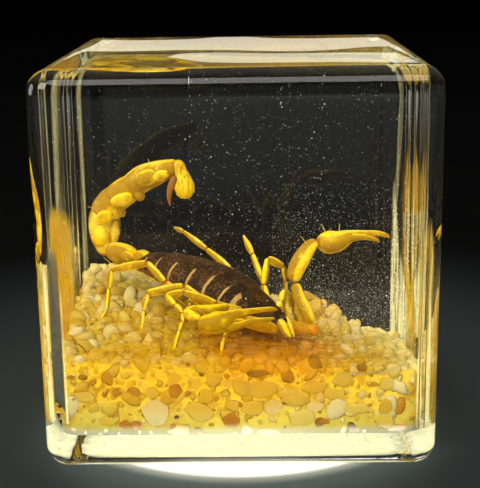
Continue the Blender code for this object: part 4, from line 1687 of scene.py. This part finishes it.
def stand_in_row(points, tree, name, **inputs):
    """Apply the row tree to a line through points in mm."""
    mesh = bpy.data.meshes.new("line")
    places = through(points, 6) * MM
    edges = [(index, index + 1) for index in range(len(places) - 1)]
    mesh.from_pydata(places.tolist(), edges, [])
    host = show("line", mesh)
    made = applied(host, tree, name, **inputs)
    bpy.data.objects.remove(host)
    return made


def new_tree(name, sockets):
    """Start a Geometry Nodes tree: its inputs, its graph and its first node."""
    tree = bpy.data.node_groups.new(name, "GeometryNodeTree")
    for label, kind, default in sockets:
        socket = tree.interface.new_socket(label, in_out="INPUT", socket_type=kind)
        if default is not None:
            socket.default_value = default
    tree.interface.new_socket("Made", in_out="OUTPUT", socket_type="NodeSocketGeometry")
    graph = Graph(tree)
    start = graph.node("NodeGroupInput").socket.node
    given = {socket.name: Value(graph, socket) for socket in start.outputs}
    return tree, graph, given


def applied(host, tree, name, **inputs):
    """Apply a tree to an object and return the result as one plain piece."""
    modifier = host.modifiers.new(name, "NODES")
    modifier.node_group = tree
    for item in tree.interface.items_tree:
        if item.in_out == "INPUT" and item.name in inputs:
            modifier[item.identifier] = inputs[item.name]
    graph = bpy.context.evaluated_depsgraph_get()
    mesh = bpy.data.meshes.new_from_object(host.evaluated_get(graph))
    host.modifiers.clear()
    used = mesh.materials[-1]
    mesh.polygons.foreach_set("material_index", [0] * len(mesh.polygons))
    return show(name, mesh, used)


def bed_height(x, y):
    """Return the height of the bed's top at a place, in mm."""
    across = (x + BED_HALF) / (2.0 * BED_HALF)
    along = (y + BED_HALF) / (2.0 * BED_HALF)
    front = BED_FRONT_HEIGHTS[0] + (BED_FRONT_HEIGHTS[1] - BED_FRONT_HEIGHTS[0]) * across
    fall = eased(min(max((across - 0.15) / 0.8, 0.0), 1.0))
    back = BED_BACK_HEIGHTS[0] + (BED_BACK_HEIGHTS[1] - BED_BACK_HEIGHTS[0]) * fall
    away = math.hypot(x - HEAP[0], y - HEAP[1]) / HEAP[2]
    return front + (back - front) * along + HEAP[3] * math.exp(-away * away)


def bed_surface(inset, name, walls=True, steps=30):
    """Return the bed, drawn in from its outer faces by an inset in mm."""
    half = BED_HALF - inset
    corner = max(BED_CORNER - inset, 0.4)
    low = BED_BOTTOM + 0.5 * inset
    line = half * np.linspace(-1.0, 1.0, steps + 1)
    plan = [round_plan(x, y, half, corner) for x in line for y in line]
    points = [(x, y, bed_height(x, y) - inset) for x, y in plan]
    row = steps + 1
    squares = [i * row + j for i in range(steps) for j in range(steps)]
    faces = [(at, at + row, at + row + 1, at + 1) for at in squares]
    shell = Shell()
    if not walls:
        shell.points.append(np.array(points))
        shell.guides.append(np.zeros((len(points), 3)))
        shell.faces = faces
        return shell.piece(name, None, smooth=False)
    below = len(points)
    points += [(x, y, low) for x, y in plan]
    for at in squares:
        corners = (at, at + 1, at + row + 1, at + row)
        faces.append(tuple(below + corner for corner in corners))
    rim = [i * row for i in range(steps)]
    rim += [steps * row + j for j in range(steps)]
    rim += [(steps - i) * row + steps for i in range(steps)]
    rim += [steps - j for j in range(steps)]
    for place, after in zip(rim, rim[1:] + rim[:1]):
        faces.append((below + place, below + after, after, place))
    shell.add(points, np.zeros((len(points), 3)), faces)
    return shell.piece(name, None, smooth=False)


def round_plan(x, y, half, corner):
    """Pull a place of a square plan in to its rounded corners."""
    flat = half - corner
    over_x = abs(x) - flat
    over_y = abs(y) - flat
    if over_x > 0.0 and over_y > 0.0:
        reach = math.hypot(over_x, over_y)
        scale = max(over_x, over_y) / reach
        x = math.copysign(flat + over_x * scale, x)
        y = math.copysign(flat + over_y * scale, y)
    return x, y


def squeezed(graph, place):
    """Press places flat just inside the bed's outer planes."""
    x, y, z = graph.axes(place)
    limit = (BED_HALF - 0.28) * MM
    pressed = 0.88
    made = []
    for value in (x, y):
        over = abs(value).math("MAXIMUM", abs(value) - limit, 0.0)
        made.append(value - value.math("SIGN", value) * over * pressed)
    under = z.math("MAXIMUM", (BED_BOTTOM + 0.25) * MM - z, 0.0)
    made.append(z + under * pressed)
    return graph.node("ShaderNodeCombineXYZ", None, dict(enumerate(made)))


def grain_tree(name, material):
    """Build the Geometry Nodes tree that strews grains over a surface."""
    sockets = (
        ("Surface", "NodeSocketGeometry", None),
        ("Spacing", "NodeSocketFloat", 1.0 * MM),
        ("Smallest", "NodeSocketFloat", 0.4 * MM),
        ("Largest", "NodeSocketFloat", 0.8 * MM),
        ("Unevenness", "NodeSocketFloat", 0.2 * MM),
        ("Shapes", "NodeSocketCollection", None),
        ("Darkness", "NodeSocketFloat", 1.0),
        ("Seed", "NodeSocketInt", 1),
    )
    tree, graph, given = new_tree(name, sockets)
    points = graph.node(
        "GeometryNodeDistributePointsOnFaces",
        {"distribute_method": "POISSON"},
        {
            "Mesh": given["Surface"],
            "Distance Min": given["Spacing"],
            "Density Max": DENSEST,
            "Seed": given["Seed"],
        },
    )
    shapes = graph.node(
        "GeometryNodeCollectionInfo",
        None,
        {"Collection": given["Shapes"], "Separate Children": True, "Reset Children": True},
    )
    turn = graph.node(
        "FunctionNodeRandomValue",
        {"data_type": "FLOAT_VECTOR"},
        {"Max": (math.tau, math.tau, math.tau), "Seed": given["Seed"] + 1.0},
    )
    stretch = graph.node(
        "FunctionNodeRandomValue",
        {"data_type": "FLOAT_VECTOR"},
        {"Min": (0.85, 0.7, 0.55), "Max": (1.35, 1.05, 0.9), "Seed": given["Seed"] + 2.0},
    )
    share = graph.node(
        "FunctionNodeRandomValue", {"data_type": "FLOAT"}, {"Seed": given["Seed"] + 3.0}, 1
    )
    size = given["Smallest"] + (given["Largest"] - given["Smallest"]) * share**1.6
    scale = graph.node(
        "ShaderNodeVectorMath", {"operation": "SCALE"}, {0: stretch, "Scale": size}
    )
    strewn = graph.node(
        "GeometryNodeInstanceOnPoints",
        None,
        {
            "Points": points,
            "Instance": shapes,
            "Pick Instance": True,
            "Rotation": turn,
            "Scale": scale,
        },
    )
    tone = graph.node(
        "FunctionNodeRandomValue", {"data_type": "FLOAT"}, {"Seed": given["Seed"] + 4.0}, 1
    )
    toned = graph.node(
        "GeometryNodeStoreNamedAttribute",
        {"data_type": "FLOAT", "domain": "INSTANCE"},
        {"Geometry": strewn, "Name": "tone", "Value": tone * given["Darkness"]},
    )
    real = graph.node("GeometryNodeRealizeInstances", None, {"Geometry": toned})
    place = graph.node("GeometryNodeInputPosition")
    lumps = graph.node(
        "ShaderNodeTexNoise", None, {"Vector": place, "Scale": LUMP_SCALE, "Detail": 1.0}, 1
    )
    centred = graph.node(
        "ShaderNodeVectorMath", {"operation": "SUBTRACT"}, {0: lumps, 1: (0.5, 0.5, 0.5)}
    )
    push = graph.node(
        "ShaderNodeVectorMath",
        {"operation": "SCALE"},
        {0: centred, "Scale": given["Unevenness"] * 2.0},
    )
    lumpy = graph.node("ShaderNodeVectorMath", {"operation": "ADD"}, {0: place, 1: push})
    uneven = graph.node(
        "GeometryNodeSetPosition", None, {"Geometry": real, "Position": squeezed(graph, lumpy)}
    )
    smooth = graph.node("GeometryNodeSetShadeSmooth", None, {"Geometry": uneven})
    made = graph.node(
        "GeometryNodeSetMaterial", None, {"Geometry": smooth, "Material": material}
    )
    graph.node("NodeGroupOutput", None, {"Made": made})
    return tree


def speck_tree(name, material):
    """Build the Geometry Nodes tree that hangs specks in a box."""
    sockets = (
        ("Box", "NodeSocketGeometry", None),
        ("Count", "NodeSocketInt", 100),
        ("Lowest", "NodeSocketVector", None),
        ("Highest", "NodeSocketVector", None),
        ("Sinking", "NodeSocketFloat", 1.0),
        ("Largest", "NodeSocketFloat", 0.1 * MM),
        ("Sides", "NodeSocketInt", 3),
        ("Seed", "NodeSocketInt", 1),
    )
    tree, graph, given = new_tree(name, sockets)
    chance = graph.node(
        "FunctionNodeRandomValue", {"data_type": "FLOAT_VECTOR"}, {"Seed": given["Seed"]}
    )
    x, y, z = graph.axes(chance)
    sunk = graph.node("ShaderNodeCombineXYZ", None, {0: x, 1: y, 2: z ** given["Sinking"]})
    span = graph.node(
        "ShaderNodeVectorMath",
        {"operation": "SUBTRACT"},
        {0: given["Highest"], 1: given["Lowest"]},
    )
    place = graph.node(
        "ShaderNodeVectorMath",
        {"operation": "MULTIPLY_ADD"},
        {0: sunk, 1: span, 2: given["Lowest"]},
    )
    points = graph.node(
        "GeometryNodePoints", None, {"Count": given["Count"], "Position": place}
    )
    share = graph.node(
        "FunctionNodeRandomValue", {"data_type": "FLOAT"}, {"Seed": given["Seed"] + 1.0}, 1
    )
    ball = graph.node(
        "GeometryNodeMeshUVSphere",
        None,
        {"Radius": 1.0, "Segments": given["Sides"], "Rings": given["Sides"] - 1.0},
    )
    hung = graph.node(
        "GeometryNodeInstanceOnPoints",
        None,
        {
            "Points": points,
            "Instance": ball,
            "Scale": graph.node(
                "ShaderNodeCombineXYZ",
                None,
                dict.fromkeys(range(3), given["Largest"] * (0.25 + 0.75 * share**5.0)),
            ),
        },
    )
    real = graph.node("GeometryNodeRealizeInstances", None, {"Geometry": hung})
    made = graph.node(
        "GeometryNodeSetMaterial", None, {"Geometry": real, "Material": material}
    )
    graph.node("NodeGroupOutput", None, {"Made": made})
    return tree


def angular_grain(middle, radii, turn, seed, detail):
    """Return the points and faces of one grain with worn flat sides.

    Places and radii are in mm, and the turn about y is in degrees.
    """
    work = bmesh.new()
    bmesh.ops.create_icosphere(work, subdivisions=detail, radius=1.0)
    chance = np.random.default_rng(seed)
    sides = chance.normal(size=(GRAIN_SIDES, 3))
    sides /= np.linalg.norm(sides, axis=1, keepdims=True)
    reaches = chance.uniform(0.72, 1.05, GRAIN_SIDES)
    spin = Matrix.Rotation(-math.radians(turn), 3, "Y")
    points = []
    for vert in work.verts:
        facing = np.clip(sides @ np.array(vert.co) / reaches, 0.0, None)
        reach = float(np.sum(facing**GRAIN_WEAR)) + 0.84**GRAIN_WEAR
        reach = reach ** (-1.0 / GRAIN_WEAR)
        point = spin @ Vector([vert.co[k] * reach * radii[k] for k in range(3)])
        points.append(Vector(middle) + point)
    faces = [tuple(vert.index for vert in face.verts) for face in work.faces]
    work.free()
    return points, faces


def grain_shapes():
    """Make the shapes that the strewn grains repeat, in a group of their own."""
    shapes = bpy.data.collections.new("grain_shapes")
    for index in range(8):
        seed = FIRST_SHAPE_SEED + index
        points, faces = angular_grain((0.0, 0.0, 0.0), (1.0, 1.0, 1.0), 0.0, seed, 2)
        mesh = bpy.data.meshes.new("grain_shape")
        mesh.from_pydata(points, [], faces)
        shapes.objects.link(bpy.data.objects.new("grain_shape", mesh))
    return shapes


class BuildGravel(bpy.types.Operator):
    """Build the bed of gravel and the dyed skin of resin over it"""

    bl_idname = "resin_block.build_gravel"
    bl_label = "Gravel"

    def execute(self, context):
        settings = context.scene.resin_block.gravel
        material = finish_named("strewn_gravel", gravel_finish)
        core = bed_surface(0.45, "gravel_core")
        core.data.shade_smooth()
        core.data.materials.append(finish_named("golden_matrix", matrix_finish))
        keep(core, "gravel", "gravel_bed")
        tree = grain_tree("strewn_grains", material)
        shapes = grain_shapes()
        for index, layer in enumerate(GRAIN_LAYERS):
            name, inset, walls, spacing, small, large, darkness = layer
            host = bed_surface(inset, "host", walls)
            grains = applied(
                host, tree, name,
                Spacing=spacing * MM, Smallest=small * MM, Largest=large * MM,
                Unevenness=0.15 * MM, Shapes=shapes, Darkness=darkness,
                Seed=settings.seed + 10 * index,
            )
            bpy.data.objects.remove(host)
            keep(grains, "gravel", "gravel_bed")
        self.single_grains(material)
        skin = bed_surface(-0.8, "dyed_skin")
        skin.data.shade_smooth()
        skin.data.materials.append(finish_named("dyed_resin", skin_finish))
        skin.visible_shadow = False
        keep(skin, "gravel", "gravel_bed")
        return {"FINISHED"}

    def single_grains(self, material):
        """Lay the grains that stand out one by one, pressed in at the bed's faces."""
        shell = Shell()
        limit = BED_HALF - 0.25
        laid = []
        for index, (x, z, wide, high, turn, tone) in enumerate(FRONT_GRAINS):
            deep = 0.5 * (wide + high)
            middle = (x, 0.45 * deep - limit, z)
            laid.append((tone, angular_grain(middle, (wide, deep, high), turn, index, 4)))
        for index, (x, y, z, wide, high, tone) in enumerate(TOP_GRAINS):
            radii = (wide, 0.5 * (wide + high), high)
            seed = FIRST_TOP_SEED + index
            laid.append((tone, angular_grain((x, y, z), radii, 20.0 * index, seed, 4)))
        for tone, (points, faces) in laid:
            for point in points:
                point.y += 0.9 * max(-limit - point.y, 0.0)
                point.x -= math.copysign(0.9 * max(abs(point.x) - limit, 0.0), point.x)
                point.z += 0.9 * max(BED_BOTTOM + 0.2 - point.z, 0.0)
            shell.add([tuple(point) for point in points], [(tone, 0.0, 0.0)] * len(points), faces)
        grains = shell.piece("grains_single", material)
        tones = grains.data.attributes.new("tone", "FLOAT", "POINT")
        tones.data.foreach_set("value", np.vstack(shell.guides)[:, 0].copy())
        keep(grains, "gravel", "gravel_bed")


def add_light_sheet(shell, stations, levels=20):
    """Add a thin upright slab through stations of LIGHT_SHEETS."""
    rows = through(stations, 6)
    steps = np.gradient(rows[:, :2], axis=0)
    aside = np.stack([steps[:, 1], -steps[:, 0]], 1)
    aside *= SHEET_HALF / np.linalg.norm(aside, axis=1, keepdims=True)
    across = levels + 1
    points = []
    guides = []
    for side in (-1.0, 1.0):
        for row, out in zip(rows, aside):
            x, y = row[:2] + side * out
            for share in np.linspace(0.0, 1.0, across):
                points.append((x, y, row[2] + (row[3] - row[2]) * share))
                strength = row[4] + (row[5] - row[4]) * share
                guides.append((strength, row[6] + (row[7] - row[6]) * share, share))
    other = len(rows) * across
    faces = []
    for i in range(len(rows) - 1):
        for j in range(levels):
            first = i * across + j
            quad = (first, first + across, first + across + 1, first + 1)
            faces.append(quad)
            faces.append(tuple(corner + other for corner in reversed(quad)))
    rim = [i * across for i in range(len(rows))]
    rim += [rim[-1] + j for j in range(1, across)]
    rim += [i * across + levels for i in range(len(rows) - 2, -1, -1)]
    rim += [j for j in range(levels - 1, 0, -1)]
    for place, after in zip(rim, rim[1:] + rim[:1]):
        faces.append((after, place, place + other, after + other))
    shell.add(points, guides, faces)


class BuildSpecks(bpy.types.Operator):
    """Build the specks, the lines between pours, the fibre and the sheets of painted light and
    shade on the walls
    """

    bl_idname = "resin_block.build_specks"
    bl_label = "Specks"

    def execute(self, context):
        tree = speck_tree("hung_specks", finish_named("white_specks", speck_finish))
        for name, count, low, high, sinking, largest, sides, seed in SPECK_GROUPS:
            mesh = bpy.data.meshes.new("box")
            host = show("box", mesh)
            specks = applied(
                host, tree, name,
                Count=count, Lowest=[part * MM for part in low],
                Highest=[part * MM for part in high], Sinking=sinking,
                Largest=largest * MM, Sides=sides, Seed=seed,
            )
            bpy.data.objects.remove(host)
            keep(specks, "clear_resin")
        shell = Shell()
        for stations in POUR_LINES:
            smooth_limb(shell, [(*place, 0.05) for place in stations], sides=6, steps=6)
        pour = shell.piece("pour_line", finish_named("pour_line_pale", pour_finish))
        keep(pour, "clear_resin")
        shell = Shell()
        smooth_limb(shell, FIBRE, sides=6, steps=6)
        fibre = shell.piece("fibre", finish_named("dark_underside", underside_shell))
        keep(fibre, "clear_resin")
        shell = Shell()
        for stations in LIGHT_SHEETS:
            add_light_sheet(shell, stations)
        painted_sheets = shell.piece("wall_films", finish_named("streaked_film", light_sheet_finish))
        painted_sheets.visible_shadow = False
        keep(painted_sheets, "clear_resin")
        return {"FINISHED"}


class BuildStage(bpy.types.Operator):
    """Set the floor, the soft lights and the camera"""

    bl_idname = "resin_block.build_stage"
    bl_label = "Stage"

    def execute(self, context):
        floor = show("floor", floor_disc(), finish_named("studio_floor", floor_finish))
        strength = context.scene.resin_block.stage.light
        for name, place, width, height, power, reflected in LAMPS:
            lamp = bpy.data.lights.new(name, "AREA")
            lamp.shape = "ELLIPSE" if "strip" in name else "RECTANGLE"
            lamp.size = width
            lamp.size_y = height
            lamp.energy = power * strength
            lamp.color = WARM_WHITE if "strip" in name else SOFT_WHITE
            made = bpy.data.objects.new(name, lamp)
            made.visible_camera = False
            made.visible_glossy = reflected
            made.location = place
            aim = Vector(LAMP_AIM) - Vector(place)
            made.rotation_euler = aim.to_track_quat("-Z", "Y").to_euler()
            context.scene.collection.objects.link(made)
        world = bpy.data.worlds.new("soft_surround")
        world.use_nodes = True
        world.node_tree.nodes["Background"].inputs["Color"].default_value = (
            0.022, 0.023, 0.022, 1.0,
        )
        context.scene.world = world
        context.scene.view_settings.view_transform = "Standard"
        set_camera(context.scene)
        return {"FINISHED"}


def floor_disc(sides=96):
    """Return the floor's mesh: a fan in the middle and rings around it."""
    points = [(0.0, 0.0, -FLOOR_DROP)]
    for reach in FLOOR_RINGS:
        for step in range(sides):
            angle = math.tau * step / sides
            points.append((reach * math.cos(angle), reach * math.sin(angle), -FLOOR_DROP))
    faces = [(0, 1 + step, 1 + (step + 1) % sides) for step in range(sides)]
    for ring in range(len(FLOOR_RINGS) - 1):
        base = 1 + ring * sides
        ahead = base + sides
        for step in range(sides):
            after = (step + 1) % sides
            faces.append((base + step, ahead + step, ahead + after, base + after))
    mesh = bpy.data.meshes.new("floor")
    mesh.from_pydata(points, [], faces)
    return mesh


def set_camera(scene):
    """Put the camera at the picture's viewing angle."""
    lens = bpy.data.cameras.new("camera")
    lens.lens = FOCAL_LENGTH
    lens.sensor_width = 36.0
    lens.clip_start = 0.005
    lens.clip_end = 20.0
    camera = bpy.data.objects.new("camera", lens)
    yaw, pitch, roll = (math.radians(part) for part in CAMERA_ANGLES)
    forward = Vector(
        (math.sin(yaw) * math.cos(pitch), math.cos(yaw) * math.cos(pitch), -math.sin(pitch))
    )
    level = Vector((math.cos(yaw), -math.sin(yaw), 0.0))
    upright = level.cross(forward)
    right = math.cos(roll) * level + math.sin(roll) * upright
    up = -math.sin(roll) * level + math.cos(roll) * upright
    turn = Matrix((right, up, -forward)).transposed().to_4x4()
    turn.translation = Vector(CAMERA_PLACE) * MM
    camera.matrix_world = turn
    scene.collection.objects.link(camera)
    scene.camera = camera


class ResinBlockPanel(bpy.types.Panel):
    """Lists the operators of the part and its settings"""

    bl_idname = "VIEW3D_PT_resin_block"
    bl_label = "Scorpion in Resin Block"
    bl_space_type = "VIEW_3D"
    bl_region_type = "UI"
    bl_category = "Resin Block"

    def draw(self, context):
        for operator in OPERATORS:
            self.layout.operator(operator.bl_idname)
        settings = context.scene.resin_block
        for group in (settings.resin, settings.shell, settings.gravel, settings.stage):
            box = self.layout.box()
            for name in group.__annotations__:
                box.prop(group, name)


OPERATORS = (
    BuildResinBlock,
    BuildTrunk,
    BuildTail,
    BuildLegs,
    BuildClaws,
    BuildGravel,
    BuildSpecks,
    BuildStage,
)
CLASSES = (
    ResinSettings,
    ShellSettings,
    GravelSettings,
    StageSettings,
    BlockSettings,
    *OPERATORS,
    ResinBlockPanel,
)


def register():
    """Register the classes and the settings."""
    for made in CLASSES:
        bpy.utils.register_class(made)
    bpy.types.Scene.resin_block = PointerProperty(type=BlockSettings)


def unregister():
    """Remove the settings and the classes."""
    del bpy.types.Scene.resin_block
    for made in reversed(CLASSES):
        bpy.utils.unregister_class(made)


def main():
    """Build all pieces and the stage."""
    register()
    bpy.ops.resin_block.build_block()
    bpy.ops.resin_block.build_trunk()
    bpy.ops.resin_block.build_tail()
    bpy.ops.resin_block.build_legs()
    bpy.ops.resin_block.build_claws()
    bpy.ops.resin_block.build_gravel()
    bpy.ops.resin_block.build_specks()
    bpy.ops.resin_block.build_stage()


if __name__ == "__main__":
    main()
